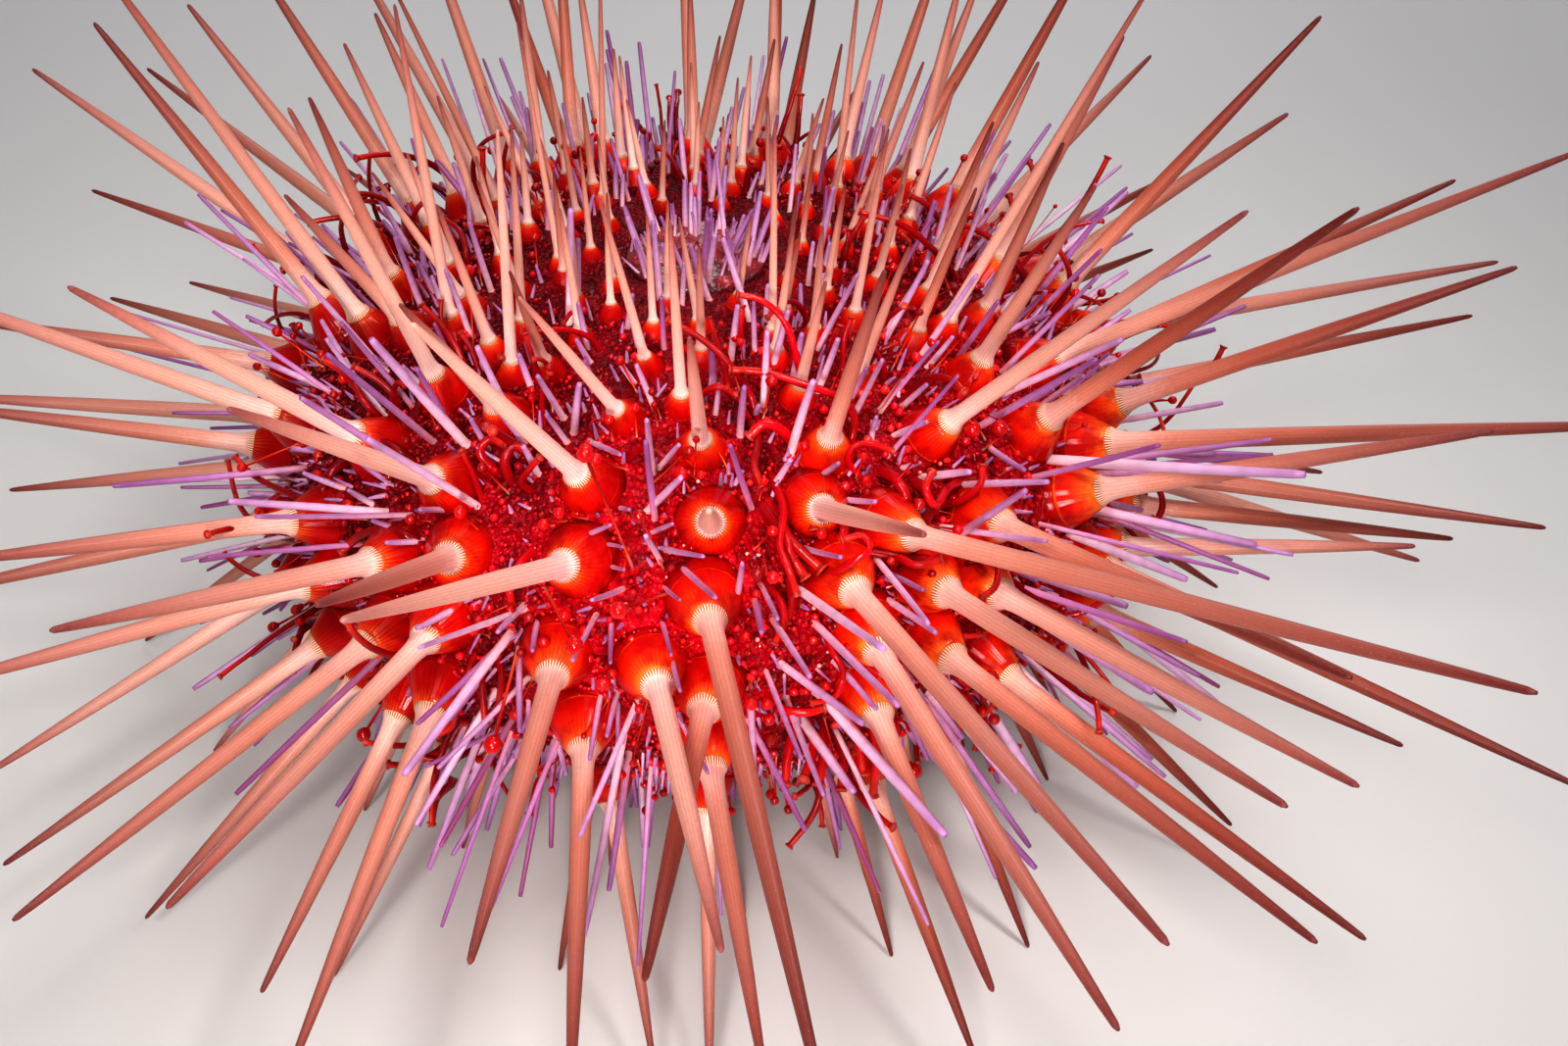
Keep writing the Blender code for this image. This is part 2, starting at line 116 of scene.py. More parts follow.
class Finish(Nodes):
    """The surface of a piece: a material whose nodes feed one shader."""

    def __init__(self, name, **constants):
        self.material = bpy.data.materials.new(name)
        self.material.use_nodes = True
        super().__init__(self.material.node_tree)
        self.shader = self.tree.nodes["Principled BSDF"]
        for key, value in constants.items():
            self.shader.inputs[key.replace("_", " ")].default_value = value
        self.place = self.add("ShaderNodeTexCoord", out="Object")

    def feed(self, **values):
        for key, value in values.items():
            self.tree.links.new(value.socket, self.shader.inputs[key.replace("_", " ")])

    def blend(self, mask, low, high):
        """One colour passing into another as the mask goes from 0 to 1."""
        return self.add("ShaderNodeMix", {0: mask, 6: low, 7: high}, out=2, data_type="RGBA")

    def ramp(self, value, *stops):
        return self.add("ShaderNodeValToRGB", {0: value}, stops=stops)

    def cloud(self, scale, detail=3.0, roughness=0.55):
        """A soft random field between 0 and 1 over the surface."""
        return self.add("ShaderNodeTexNoise", {"Vector": self.place, "Scale": scale, "Detail": detail,
                                               "Roughness": roughness})

    def cells(self, scale):
        return self.add("ShaderNodeTexVoronoi", {"Vector": self.place, "Scale": scale})

    def carry(self, value, low, high, start, end):
        """The value carried over from the range low to high to the range start to end."""
        return self.add("ShaderNodeMapRange", {0: value, 1: low, 2: high, 3: start, 4: end})

    def attribute(self, name, out="Fac"):
        return self.add("ShaderNodeAttribute", out=out, attribute_name=name)

    def form_place(self):
        """Where a point lies within its own form: X, with Y and Z beside it."""
        return self.add("ShaderNodeSeparateXYZ", {0: self.attribute("local", out="Vector")})

    def relief(self, height, strength, distance):
        """Fine relief of the surface, its height in shares of the distance."""
        self.feed(Normal=self.add("ShaderNodeBump", {"Height": height, "Strength": strength,
                                                     "Distance": distance}))


def rgb(red, green, blue):
    return (red, green, blue, 1.0)


def put(name, data):
    """A new object with this data, in the scene."""
    made = bpy.data.objects.new(name, data)
    bpy.context.scene.collection.objects.link(made)
    return made


FLOOR_SPAN = 4.0
WALL_BACK = 1.2
SWEEP = 0.5
sweep = [(FLOOR_SPAN, 0.0), (-WALL_BACK + SWEEP, 0.0)]
sweep += [(-WALL_BACK + SWEEP - SWEEP * math.sin(turn), SWEEP - SWEEP * math.cos(turn))
          for turn in np.linspace(0, math.pi / 2, 16)[1:]]
sweep.append((-WALL_BACK, FLOOR_SPAN / 2))
floor_mesh = bpy.data.meshes.new("studio_floor")
rows = [[(side * FLOOR_SPAN, -near, height) for side in (-1, 1)] for near, height in sweep]
floor_mesh.from_pydata([point for row in rows for point in row], [],
                       [(2 * n, 2 * n + 1, 2 * n + 3, 2 * n + 2) for n in range(len(rows) - 1)])
floor_mesh.shade_smooth()
paper = Finish("studio_paper", Roughness=0.65)
paper.feed(Base_Color=paper.blend(paper.cloud(9.0), rgb(0.70, 0.69, 0.68),
                                  rgb(0.74, 0.73, 0.72)))
floor_mesh.materials.append(paper.material)
floor = put("studio_floor", floor_mesh)

# The middle of the test's widest level, round which everything on the animal is placed
FLOOR_DROP = 0.036
mouth_low, mouth_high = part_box("peristome")
MIDDLE = np.array([(mouth_low.x + mouth_high.x) / 2, (mouth_low.y + mouth_high.y) / 2, FLOOR_DROP])

VIEW_RISE = 36.0
VIEW_DISTANCE = 0.1934
VIEW_LENS = 32.84
MIDDLE_IN_VIEW = (710.4, 439.3)
FRAME_SIZE = (1600, 1067)
camera_data = bpy.data.cameras.new("camera")
camera_data.lens = VIEW_LENS
camera_data.clip_start = 0.01
camera_data.shift_x = (FRAME_SIZE[0] / 2 - MIDDLE_IN_VIEW[0]) / FRAME_SIZE[0]
camera_data.shift_y = (MIDDLE_IN_VIEW[1] - FRAME_SIZE[1] / 2) / FRAME_SIZE[0]
camera = put("camera", camera_data)
camera.location = Vector(MIDDLE) + Vector((0, -math.cos(math.radians(VIEW_RISE)),
                                           math.sin(math.radians(VIEW_RISE)))) * VIEW_DISTANCE
camera.rotation_euler = (math.radians(90 - VIEW_RISE), 0, 0)
bpy.context.scene.camera = camera

# Name, place, width, power, angle of the beam in degrees and colour of each light
LIGHTS = (
    ("key", (-0.065, -0.200, 0.240), 0.07, 0.135, 120, (1.0, 0.97, 0.93)),
    ("upper_right", (0.130, -0.090, 0.300), 0.06, 0.080, 90, (1.0, 0.97, 0.95)),
    ("front", (-0.010, -0.270, 0.120), 0.05, 0.032, 50, (1.0, 0.95, 0.92)),
    ("top", (0.10, 0.15, 1.60), 1.00, 4.2, 180, (1.0, 0.98, 0.98)),
    ("back", (0.10, 0.75, 0.60), 0.40, 1.60, 180, (0.96, 0.96, 1.0)),
)
for name, place, size, power, beam, colour in LIGHTS:
    lamp = bpy.data.lights.new(name, "AREA")
    lamp.shape, lamp.size, lamp.energy, lamp.color = "DISK", size, power, colour
    lamp.spread = math.radians(beam)
    light = put(name, lamp)
    light.location = place
    light.rotation_euler = (Vector(MIDDLE) - light.location).to_track_quat("-Z", "Y").to_euler()
world = bpy.data.worlds.new("surround")
world.use_nodes = True
world.node_tree.nodes["Background"].inputs["Color"].default_value = (0.80, 0.82, 0.85, 1)
world.node_tree.nodes["Background"].inputs["Strength"].default_value = 0.17
bpy.context.scene.world = world
bpy.context.scene.view_settings.view_transform = "Standard"
bpy.context.scene.view_settings.look = "High Contrast"


# Where the spines stand. The test is a flattened round body of ten zones of plates, and each zone
# bears two columns of primary tubercles. Longitude runs round from the camera's side to its
# right; latitude is the profile's own angle. The rules and their order are those of the solids,
# so that every spine lies over its solid.
TEST_RADIUS = 0.0525
TEST_RISE = 0.027
TEST_DROP = 0.024
FULLNESS = 0.80
GAP = 0.0003
ZONE_SHIFT = -7.0
ZONE_TURN = 72.0
INTER_HALF = 19.0
AMBU_HALF = 17.0
INTER_COLUMN = 8.5
AMBU_COLUMN = 7.5
APICAL_RADIUS = 0.0090
MOUTH_RADIUS = 0.0130
PITCH = 0.0083
COLLAR_RADIUS = 0.0034
RING_RADIUS = 0.0018
RING_LIFT = 0.0055
TIP_RADIUS = 0.00050
ROOT_DEPTH = 0.0030
SKIN_SHARE = RING_LIFT / (RING_LIFT + ROOT_DEPTH)
LEAN_SPREAD = 6.0
LEAN_MOST = 17.0
SPINE_GAP = 0.0006
TRIES = 14
SECONDARY_SITES = 1150
SECONDARY_MOST = 290
SECONDARY_RADIUS = 0.00085
SECONDARY_TIP = 0.00030
SECONDARY_DEPTH = 0.0018
SECONDARY_LEAN = 9.0
FOOTING_LATITUDES = (-66.0, -24.0)
FOOTING_OVERRUN = 0.0015
SEED = 41

# Length and girth of the primary spines by latitude: degrees, metres, share of full girth
SPINE_BY_LATITUDE = (
    (-66, 0.014, 0.45),
    (-40, 0.027, 0.70),
    (-15, 0.042, 0.95),
    (10, 0.049, 1.00),
    (32, 0.046, 1.00),
    (48, 0.033, 0.84),
    (60, 0.020, 0.56),
    (78, 0.013, 0.36),
)

# The pose of the largest spines of the side that is seen: longitude and latitude of the root,
# compass bearing and rise of the spine, in degrees, and its length in millimetres
POSED = (
    (2, 40, -1, 41, 41), (1, 26, 6, 16, 65), (-15, 31, -18, 35, 50), (-5, 12, 8, 20, 48),
    (-16, 12, -3, 16, 47), (-13, 0, 2, 1, 43), (1, -2, 7, 2, 39), (1, 53, -5, 59, 27),
    (-3, 61, -7, 74, 28), (-14, 58, -33, 56, 28), (-16, 45, -29, 54, 41), (16, 41, 8, 36, 43),
    (26, 34, 34, 25, 68), (18, 28, 15, 18, 62), (29, 22, 22, 21, 53), (20, 16, 13, 12, 55),
    (28, 9, 27, 13, 52), (36, 17, 27, 19, 50), (20, 3, 10, 5, 39), (36, 60, 29, 71, 22),
    (40, 46, 51, 53, 46), (41, 29, 26, 21, 50), (52, 69, 38, 83, 25), (64, 58, 77, 69, 47),
    (71, 41, 63, 39, 60), (65, 24, 57, 24, 57), (64, -1, 76, 12, 37), (-37, 37, -25, 45, 40),
    (-31, 26, -8, 35, 41), (-40, 19, -32, 28, 44), (-31, 12, -19, 12, 47), (-39, 5, -34, 2, 48),
    (-32, -1, -11, -8, 44), (-38, -9, -21, -20, 36), (-52, 35, -49, 49, 42), (-55, 15, -53, 19, 41),
    (-50, 50, -51, 72, 40), (-42, 59, 16, 80, 33), (-65, 58, -62, 87, 40), (-76, 45, -83, 65, 52),
    (-77, 8, -82, 15, 42), (-89, 18, -81, 16, 42), (-52, 66, 21, 84, 27), (-81, 76, -104, 84, 31),
    (-122, 60, -103, 68, 33), (-153, 46, -173, 66, 41), (-139, 74, 170, 84, 34), (-13, 68, -31, 72, 26),
    (25, 72, -16, 85, 28), (134, 46, 134, 63, 33), (106, 29, 98, 36, 39), (99, 17, 85, 15, 54),
    (133, 66, 158, 81, 29), (163, 48, 180, 66, 32), (-62, -6, -56, -15, 44), (-12, -24, 13, -40, 32),
    (83, 2, 76, -11, 42),
)


def profile(latitude):
    """Radius and height of the test's surface, and its outward normal in the same plane."""
    angle = math.radians(latitude)
    depth = TEST_RISE if latitude >= 0 else TEST_DROP
    radius = TEST_RADIUS * math.cos(angle) ** FULLNESS
    height = math.copysign(depth * abs(math.sin(angle)) ** FULLNESS, latitude)
    power = 2 / FULLNESS - 1
    out = (radius / TEST_RADIUS) ** power / TEST_RADIUS
    up = math.copysign((abs(height) / depth) ** power / depth, latitude)
    size = math.hypot(out, up)
    return radius, height, out / size, up / size


def latitude_at(radius):
    """Latitude, without its sign, where the test has this radius."""
    return math.degrees(math.acos((radius / TEST_RADIUS) ** (1 / FULLNESS)))


def compass(longitude):
    angle = math.radians(longitude)
    return np.array([math.sin(angle), -math.cos(angle), 0.0])


def skin(longitude, latitude):
    """A point of the test's surface, from its middle, and the normal there."""
    radius, height, out, up = profile(latitude)
    away = compass(longitude)
    lift = np.array([0.0, 0.0, 1.0])
    return away * radius + lift * height, away * out + lift * up


def bearing(azimuth, rise):
    """Unit vector from a compass bearing and a rise above the horizontal."""
    angle = math.radians(rise)
    return compass(azimuth) * math.cos(angle) + np.array([0.0, 0.0, math.sin(angle)])


def zones():
    """Name, middle longitude, half width and column offset of each zone of plates."""
    for count in range(5):
        middle = ZONE_SHIFT + count * ZONE_TURN
        yield f"interambulacrum_{count + 1}", middle, INTER_HALF, INTER_COLUMN
        yield f"ambulacrum_{count + 1}", middle + ZONE_TURN / 2, AMBU_HALF, AMBU_COLUMN


def zone_of(longitude):
    """The zone that a longitude falls in, and how far the longitude is from its middle."""
    for name, middle, half, _ in zones():
        turn = (longitude - middle + 180) % 360 - 180
        if abs(turn) < half:
            return name, middle, half, turn
    return None


def inside_parting(longitude, latitude, heading, girth, depth):
    """Whether a root stays inside its own zone, clear of its edges on both sides."""
    found = zone_of(longitude)
    if found is None:
        return False
    _, middle, half, _ = found
    base, _ = skin(longitude, latitude)
    for side in (-1, 1):
        wall = compass(middle + side * (half - 90))
        for along in (-depth, 0.0, 0.0008):
            if np.dot(base + heading * along, wall) < girth + GAP:
                return False
    return True


class Spines:
    """The spines placed so far, as tapered shafts, for testing that a new one clears them all."""

    def __init__(self):
        self.kept = []
        self.foot = np.zeros((0, 3))
        self.tip = np.zeros((0, 3))
        self.wide = np.zeros(0)
        self.thin = np.zeros(0)

    def clearance(self, foot, tip, wide, thin):
        """Smallest gap between a new tapered shaft and those already there."""
        if not len(self.foot):
            return 1.0
        run, runs = tip - foot, self.tip - self.foot
        between = foot - self.foot
        a, e = run @ run, (runs * runs).sum(1)
        b, c, f = runs @ run, between @ run, (runs * between).sum(1)
        spread = a * e - b * b
        s = np.where(spread > 1e-12, np.clip((b * f - c * e) / np.maximum(spread, 1e-12), 0, 1), 0)
        t = (b * s + f) / e
        s = np.where(t < 0, np.clip(-c / a, 0, 1), np.where(t > 1, np.clip((b - c) / a, 0, 1), s))
        t = np.clip(t, 0, 1)
        near = between + s[:, None] * run - t[:, None] * runs
        radii = wide + (thin - wide) * s + self.wide + (self.thin - self.wide) * t
        return (np.linalg.norm(near, axis=1) - radii).min()

    def place(self, spine, gap=SPINE_GAP):
        """Adds a spine and says so, if all its shafts clear those already there."""
        for foot, tip, wide, thin in spine["shafts"]:
            if self.clearance(foot, tip, wide, thin) < gap:
                return False
        for foot, tip, wide, thin in spine["shafts"]:
            self.foot = np.vstack([self.foot, foot])
            self.tip = np.vstack([self.tip, tip])
            self.wide = np.append(self.wide, wide)
            self.thin = np.append(self.thin, thin)
        self.kept.append(spine)
        return True


def by_latitude(latitude):
    """Length and share of full girth of a primary spine that grows at this latitude."""
    marks, lengths, girths = zip(*SPINE_BY_LATITUDE)
    return float(np.interp(latitude, marks, lengths)), float(np.interp(latitude, marks, girths))


def to_floor(base, heading):
    """Length at which a spine that points down reaches the floor, or a long way if it never does."""
    return (base[2] + FLOOR_DROP) / -heading[2] if heading[2] < -0.05 else 1.0


def primary(longitude, latitude, heading, length, size):
    """A primary spine: a collar cone round its root, then the shaft out to the tip."""
    base, _ = skin(longitude, latitude)
    ring = base + heading * RING_LIFT * size
    tip = base + heading * length
    neck = RING_RADIUS * size
    collar = neck + (COLLAR_RADIUS - RING_RADIUS) * size * SKIN_SHARE
    return {
        "zone": zone_of(longitude)[0], "kind": "primary", "base": base, "heading": heading,
        "length": length, "size": size, "place": (longitude, latitude),
        "shafts": ((base, ring, collar, neck), (ring, tip, neck, TIP_RADIUS)),
    }


def secondary(longitude, latitude, heading, length, girth=1.0):
    """A slender secondary spine without a collar."""
    base, _ = skin(longitude, latitude)
    return {
        "zone": zone_of(longitude)[0], "kind": "secondary", "base": base, "heading": heading,
        "length": length, "size": girth, "place": (longitude, latitude),
        "shafts": ((base, base + heading * length, SECONDARY_RADIUS * girth, SECONDARY_TIP * girth),),
    }


def leaning(normal, spread, most, draw):
    """A direction that leans from the normal by a drawn angle, most often a small one."""
    lean = math.radians(min(abs(draw.normal(0, spread)), most))
    side = np.cross(normal, bearing(draw.uniform(0, 360), draw.uniform(-60, 60)))
    side /= np.linalg.norm(side)
    return normal * math.cos(lean) + side * math.sin(lean)


def column_sites():
    """Longitude and latitude of the primary tubercles: two staggered columns in each zone."""
    top = latitude_at(APICAL_RADIUS + 0.0032)
    bottom = -latitude_at(MOUTH_RADIUS + 0.0036)
    for _, middle, _, offset in zones():
        for side in (-1, 1):
            for step in (1, -1):
                latitude = 0.0 if side > 0 else 5.0
                if step < 0:
                    latitude -= 10.0
                while bottom < latitude < top:
                    yield middle + side * offset, latitude
                    _, size = by_latitude(latitude)
                    here, there = skin(0, latitude)[0], skin(0, latitude + step)[0]
                    latitude += step * PITCH * (0.35 + 0.65 * size) / np.linalg.norm(there - here)


def grow_primaries(spines, draw):
    """The posed spines first, then the rest of the columns, each leaning clear of the others."""
    for longitude, latitude, azimuth, rise, length in POSED:
        heading = bearing(azimuth, rise)
        size = by_latitude(latitude)[1]
        inward = math.copysign(0.5, -zone_of(longitude)[3])
        while not inside_parting(longitude, latitude, heading, COLLAR_RADIUS * size, ROOT_DEPTH):
            longitude += inward
        spines.place(primary(longitude, latitude, heading, length / 1000, size))
    for longitude, latitude in column_sites():
        usual, size = by_latitude(latitude)
        _, normal = skin(longitude, latitude)
        footing = FOOTING_LATITUDES[0] < latitude < FOOTING_LATITUDES[1]
        for _ in range(TRIES):
            heading = leaning(normal, LEAN_SPREAD, LEAN_MOST, draw)
            length = usual * draw.uniform(0.86, 1.16)
            reach = to_floor(skin(longitude, latitude)[0], heading)
            if footing:
                length = min(length * 1.2, reach + FOOTING_OVERRUN)
            elif length > reach - 0.001:
                length = reach - 0.001
            fits = inside_parting(longitude, latitude, heading, COLLAR_RADIUS * size, ROOT_DEPTH)
            if fits and spines.place(primary(longitude, latitude, heading, length, size)):
                break


def grow_secondaries(spines, draw):
    """Slender spines at sites spread evenly over the test, wherever one fits between the others."""
    golden = math.pi * (3 - math.sqrt(5))
    top = latitude_at(APICAL_RADIUS + 0.0018)
    bottom = -latitude_at(MOUTH_RADIUS + 0.0018)
    placed = 0
    order = draw.permutation(SECONDARY_SITES)
    for count in order:
        share = (count + 0.5) / SECONDARY_SITES
        latitude = math.degrees(math.asin(1 - 2 * share)) * 0.96 + draw.uniform(-1.5, 1.5)
        longitude = math.degrees(count * golden) % 360 - 180 + draw.uniform(-2, 2)
        length = 0.4 * by_latitude(latitude)[0] * draw.uniform(0.75, 1.35)
        heading = leaning(skin(longitude, latitude)[1], SECONDARY_LEAN, LEAN_MOST, draw)
        if not bottom < latitude < top or placed >= SECONDARY_MOST:
            continue
        if not inside_parting(longitude, latitude, heading, SECONDARY_RADIUS, SECONDARY_DEPTH):
            continue
        length = min(length, to_floor(skin(longitude, latitude)[0], heading) - 0.001)
        placed += spines.place(secondary(longitude, latitude, heading, length))


draw = np.random.default_rng(SEED)
spines = Spines()
grow_primaries(spines, draw)
grow_secondaries(spines, draw)
primaries = [spine for spine in spines.kept if spine["kind"] == "primary"]
ZONE_NAMES = [name for name, _, _, _ in zones()]
INTER_NAMES, AMBU_NAMES = ZONE_NAMES[0::2], ZONE_NAMES[1::2]
AMBU_MIDDLES = [middle for _, middle, _, _ in zones()][1::2]


def each(spines, key):
    """One measure of each of these spines."""
    return np.array([spine[key] for spine in spines])


# The skin: one wet, granular red sheet over all ten zones, raised in a low boss under each
# primary spine and dented along the double rows of pores that let out the tube feet.
SKIN_ROUND = 380
SKIN_DOWN = 190
BOSS_RISE = 0.0011
BOSS_SPREAD = 0.0040
PORE_TURNS = (11.0, 13.5)
PORE_DENT = 0.00025
SKIN_WAVE = 0.00025
MOUTH_RECESS = 0.0055
APICAL_SINK = 0.0012
UNWRAP_SPAN = 0.96


def arc_table():
    """Length along the profile from the top for each latitude, for unwrapping the skin."""
    marks = np.linspace(90, -90, 721)
    line = np.array([profile(mark)[:2] for mark in marks])
    return marks, np.concatenate([[0], np.cumsum(np.linalg.norm(np.diff(line, axis=0), axis=1))])


ARC_MARKS, ARC_RUN = arc_table()


def unwrapped(longitude, latitude):
    """Place of a point of the test on its unwrap, longitude across and profile length upwards."""
    down = np.interp(-np.asarray(latitude), -ARC_MARKS, ARC_RUN) / ARC_RUN[-1]
    across = (np.asarray(longitude) + 180) % 360 / 360
    return np.stack([0.02 + UNWRAP_SPAN * across, 0.98 - UNWRAP_SPAN * down], axis=-1)


def store(mesh, name, values):
    """Gives each point of a mesh a number or a vector under this name."""
    values = np.asarray(values, "f")
    kind, field = ("FLOAT", "value") if values.ndim == 1 else ("FLOAT_VECTOR", "vector")
    mesh.attributes.new(name, kind, "POINT").data.foreach_set(field, values.ravel())


def make_skin():
    """The skin's points row by row from the top, with what its finish reads at each."""
    top, bottom = latitude_at(APICAL_RADIUS), -latitude_at(MOUTH_RADIUS)
    fractions = (np.arange(SKIN_DOWN) + 1) / (SKIN_DOWN + 1)
    latitudes = np.interp(fractions * ARC_RUN[-1], ARC_RUN, ARC_MARKS)
    longitudes = np.arange(SKIN_ROUND) * 360 / SKIN_ROUND - 180
    away = np.array([compass(turn) for turn in longitudes])
    points, normals = [], []
    for latitude in latitudes:
        radius, height, out, up = profile(latitude)
        row = away * radius + np.array([0, 0, height])
        normal = away * out + np.array([0, 0, up])
        if latitude < bottom:
            row[:, 2] += MOUTH_RECESS * min(1.0, (MOUTH_RADIUS - radius) / 0.0012)
        if latitude > top:
            row[:, 2] -= APICAL_SINK * min(1.0, (APICAL_RADIUS - radius) / 0.0010)
        points.append(row)
        normals.append(normal)
    points, normals = np.concatenate(points), np.concatenate(normals)
    lat_all, lon_all = np.repeat(latitudes, SKIN_ROUND), np.tile(longitudes, SKIN_DOWN)
    bases = each(primaries, "base")
    sizes = each(primaries, "size")
    # Painted light and shade: a mask that is high next to each collar, falls off in the gaps between them and
    # is cut towards the top, to paint the flesh bright by the collars and dark where shade falls.
    rise, glow = np.zeros(len(points)), np.zeros(len(points))
    for start in range(0, len(points), 8000):
        span = slice(start, start + 8000)
        apart = np.linalg.norm(points[span, None] - bases[None], axis=2) / sizes
        rise[span] = np.exp(-(apart / BOSS_SPREAD) ** 2).max(1)
        glow[span] = np.exp(-np.maximum(apart - COLLAR_RADIUS, 0) / 0.0028).max(1)
    glow *= np.interp(lat_all, (35, 70), (1.0, 0.35))
    plates = np.array([min(abs((turn - middle + 180) % 360 - 180) for middle in AMBU_MIDDLES)
                       for turn in longitudes])
    plates = np.tile(plates, SKIN_DOWN)
    rows = np.sin(np.interp(-lat_all, -ARC_MARKS, ARC_RUN) / 0.0011 * math.pi) ** 2
    pores = sum(np.exp(-((plates - turn) / 0.8) ** 2) for turn in PORE_TURNS) * rows
    pores *= (lat_all < top) & (lat_all > bottom)
    wave = np.array([noise.fractal(Vector(point) * 420, 0.8, 2.1, 3) for point in points])
    raised = rise * BOSS_RISE - pores * PORE_DENT + wave * SKIN_WAVE
    points = points + normals * raised[:, None]
    return points, lon_all, lat_all, glow, np.clip((AMBU_HALF - plates) / 4, 0, 1)


skin_points, skin_lon, skin_lat, skin_painted_glow, skin_ambu = make_skin()
skin_mesh = bpy.data.meshes.new("test_skin")
upper, lower = SKIN_ROUND * SKIN_DOWN, SKIN_ROUND * SKIN_DOWN + 1
ends = np.array([[0, 0, skin_points[:SKIN_ROUND, 2].mean()], [0, 0, skin_points[-SKIN_ROUND:, 2].mean()]])
quads = [(row * SKIN_ROUND + turn, (row + 1) * SKIN_ROUND + turn,
          (row + 1) * SKIN_ROUND + (turn + 1) % SKIN_ROUND, row * SKIN_ROUND + (turn + 1) % SKIN_ROUND)
         for row in range(SKIN_DOWN - 1) for turn in range(SKIN_ROUND)]
caps = [(upper, turn, (turn + 1) % SKIN_ROUND) for turn in range(SKIN_ROUND)]
last = SKIN_ROUND * (SKIN_DOWN - 1)
caps += [(lower, last + (turn + 1) % SKIN_ROUND, last + turn) for turn in range(SKIN_ROUND)]
skin_mesh.from_pydata(np.concatenate([skin_points, ends]) + MIDDLE, [], quads + caps)
for name, values in (("glow", skin_painted_glow), ("ambulacral", skin_ambu)):
    store(skin_mesh, name, np.append(values, [0.4, 0.2]))
places = np.concatenate([unwrapped(skin_lon, skin_lat), [[0.5, 0.99], [0.5, 0.01]]])
corner_vertex = np.zeros(len(skin_mesh.loops), "i")
skin_mesh.loops.foreach_get("vertex_index", corner_vertex)
corner_place = places[corner_vertex]
first = np.array([polygon.loop_start for polygon in skin_mesh.polygons])
total = np.array([polygon.loop_total for polygon in skin_mesh.polygons])
face_of = np.repeat(np.arange(len(first)), total)
widest = np.zeros(len(first))
np.maximum.at(widest, face_of, corner_place[:, 0])
wrapped = (widest[face_of] > 0.9) & (corner_place[:, 0] < 0.1)
corner_place[wrapped, 0] += UNWRAP_SPAN
skin_mesh.uv_layers.new(name="OFBake").data.foreach_set("uv", corner_place.astype("f").ravel())
skin_mesh.shade_smooth()

flesh = Finish("urchin_skin", Subsurface_Weight=0.25, Subsurface_Scale=0.0012, Specular_IOR_Level=0.25,
               Subsurface_Radius=(1.0, 0.05, 0.04))
glow = flesh.attribute("glow")
ambulacral = flesh.attribute("ambulacral")
mottle = flesh.cloud(260, 4)
grain = flesh.cells(1500)
# Lit and shaded copies of the flesh, painted light and shade: the bright red where the painted mask is high,
# the dark red in the gaps and towards the top.
dark = flesh.blend(mottle, rgb(0.04, 0.0002, 0.003), rgb(0.34, 0.0004, 0.010))
bright = flesh.blend(mottle, rgb(0.45, 0.0004, 0.010), rgb(1.0, 0.003, 0.022))
shade = flesh.blend(glow ** 0.8 * (mottle * 0.7 + 0.65), dark, bright)
shade = flesh.blend(ambulacral * 0.25, shade, rgb(0.20, 0.001, 0.010))
# Painted light: a pool of light painted on the front right of the flesh, which deepens to dark red with the
# distance from there
PAINTED_LIGHT_MIDDLE = np.array([0.012, -0.040, 0.018])
PAINTED_LIGHT_REACH = (0.020, 0.055)
off = flesh.add("ShaderNodeVectorMath", {0: flesh.place, 1: tuple(PAINTED_LIGHT_MIDDLE + MIDDLE)}, out="Value",
                operation="DISTANCE")
away = flesh.carry(off, *PAINTED_LIGHT_REACH, 0.0, 0.65)
shade = flesh.blend(away, shade, rgb(0.09, 0.0003, 0.006))


def painted_light_pool(point):
    """1 in the middle of the painted pool of light, less far from there."""
    return np.interp(np.linalg.norm(point - PAINTED_LIGHT_MIDDLE), PAINTED_LIGHT_REACH, (1.0, 0.45))


speck = flesh.carry(grain, 0.10, 0.32, 0.6, 0.0)
# Painted shade: darker patches over the flesh, as the shade of its hollows.
pit_shade = flesh.carry(flesh.cloud(620, 4), 0.38, 0.52, 0.55, 0.0)
shade = flesh.blend(speck, shade, rgb(1.0, 0.006, 0.022))
# Painted highlights: tiny pink-white glints on the flesh by the collars.
painted_glint = flesh.carry(flesh.cells(2600), 0.05, 0.11, 0.8, 0.0)
shade = flesh.blend(painted_glint * glow, shade, rgb(1.0, 0.50, 0.42))
flesh.feed(Base_Color=flesh.blend(pit_shade, shade, rgb(0.075, 0.0004, 0.005)),
           Roughness=mottle * 0.3 + 0.06)
flesh.relief(grain * -0.6 + flesh.cloud(520, 4) * 1.6, 1.0, 0.0009)
skin_mesh.materials.append(flesh.material)
skin_piece = put("test_skin", skin_mesh)
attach(skin_piece, "root")
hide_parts(*ZONE_NAMES)


# The primary spines: straight tapering shafts of lime, finely ribbed along their length, each
# widening at its foot into a milled ring that the muscle grips.
PRIMARY_SIDES = 28
MILLED_RING = 0.00222
MILLED_LIFT = 0.0050
FLARE_HEIGHT = 0.0030
PRIMARY_PATCH = 0.018
SMALL_PATCH = 0.003
# Foot of the spine: height over the top of the flare and radius, in millimetres at full girth
SPINE_FOOT = ((-5.6, 1.0), (-3.7, 1.45), (-3.30, 1.68), (-3.10, 1.80), (-2.88, 1.81), (-2.62, 1.66),
              (-2.25, 1.46), (-1.6, 1.29), (-0.8, 1.19))
# Shaft: share of its length and radius, in millimetres at full girth
SPINE_SHAFT = ((0.0, 1.14), (0.12, 1.09), (0.30, 1.01), (0.50, 0.88), (0.70, 0.70), (0.85, 0.52),
               (0.95, 0.38), (0.99, 0.29), (1.0, 0.14))


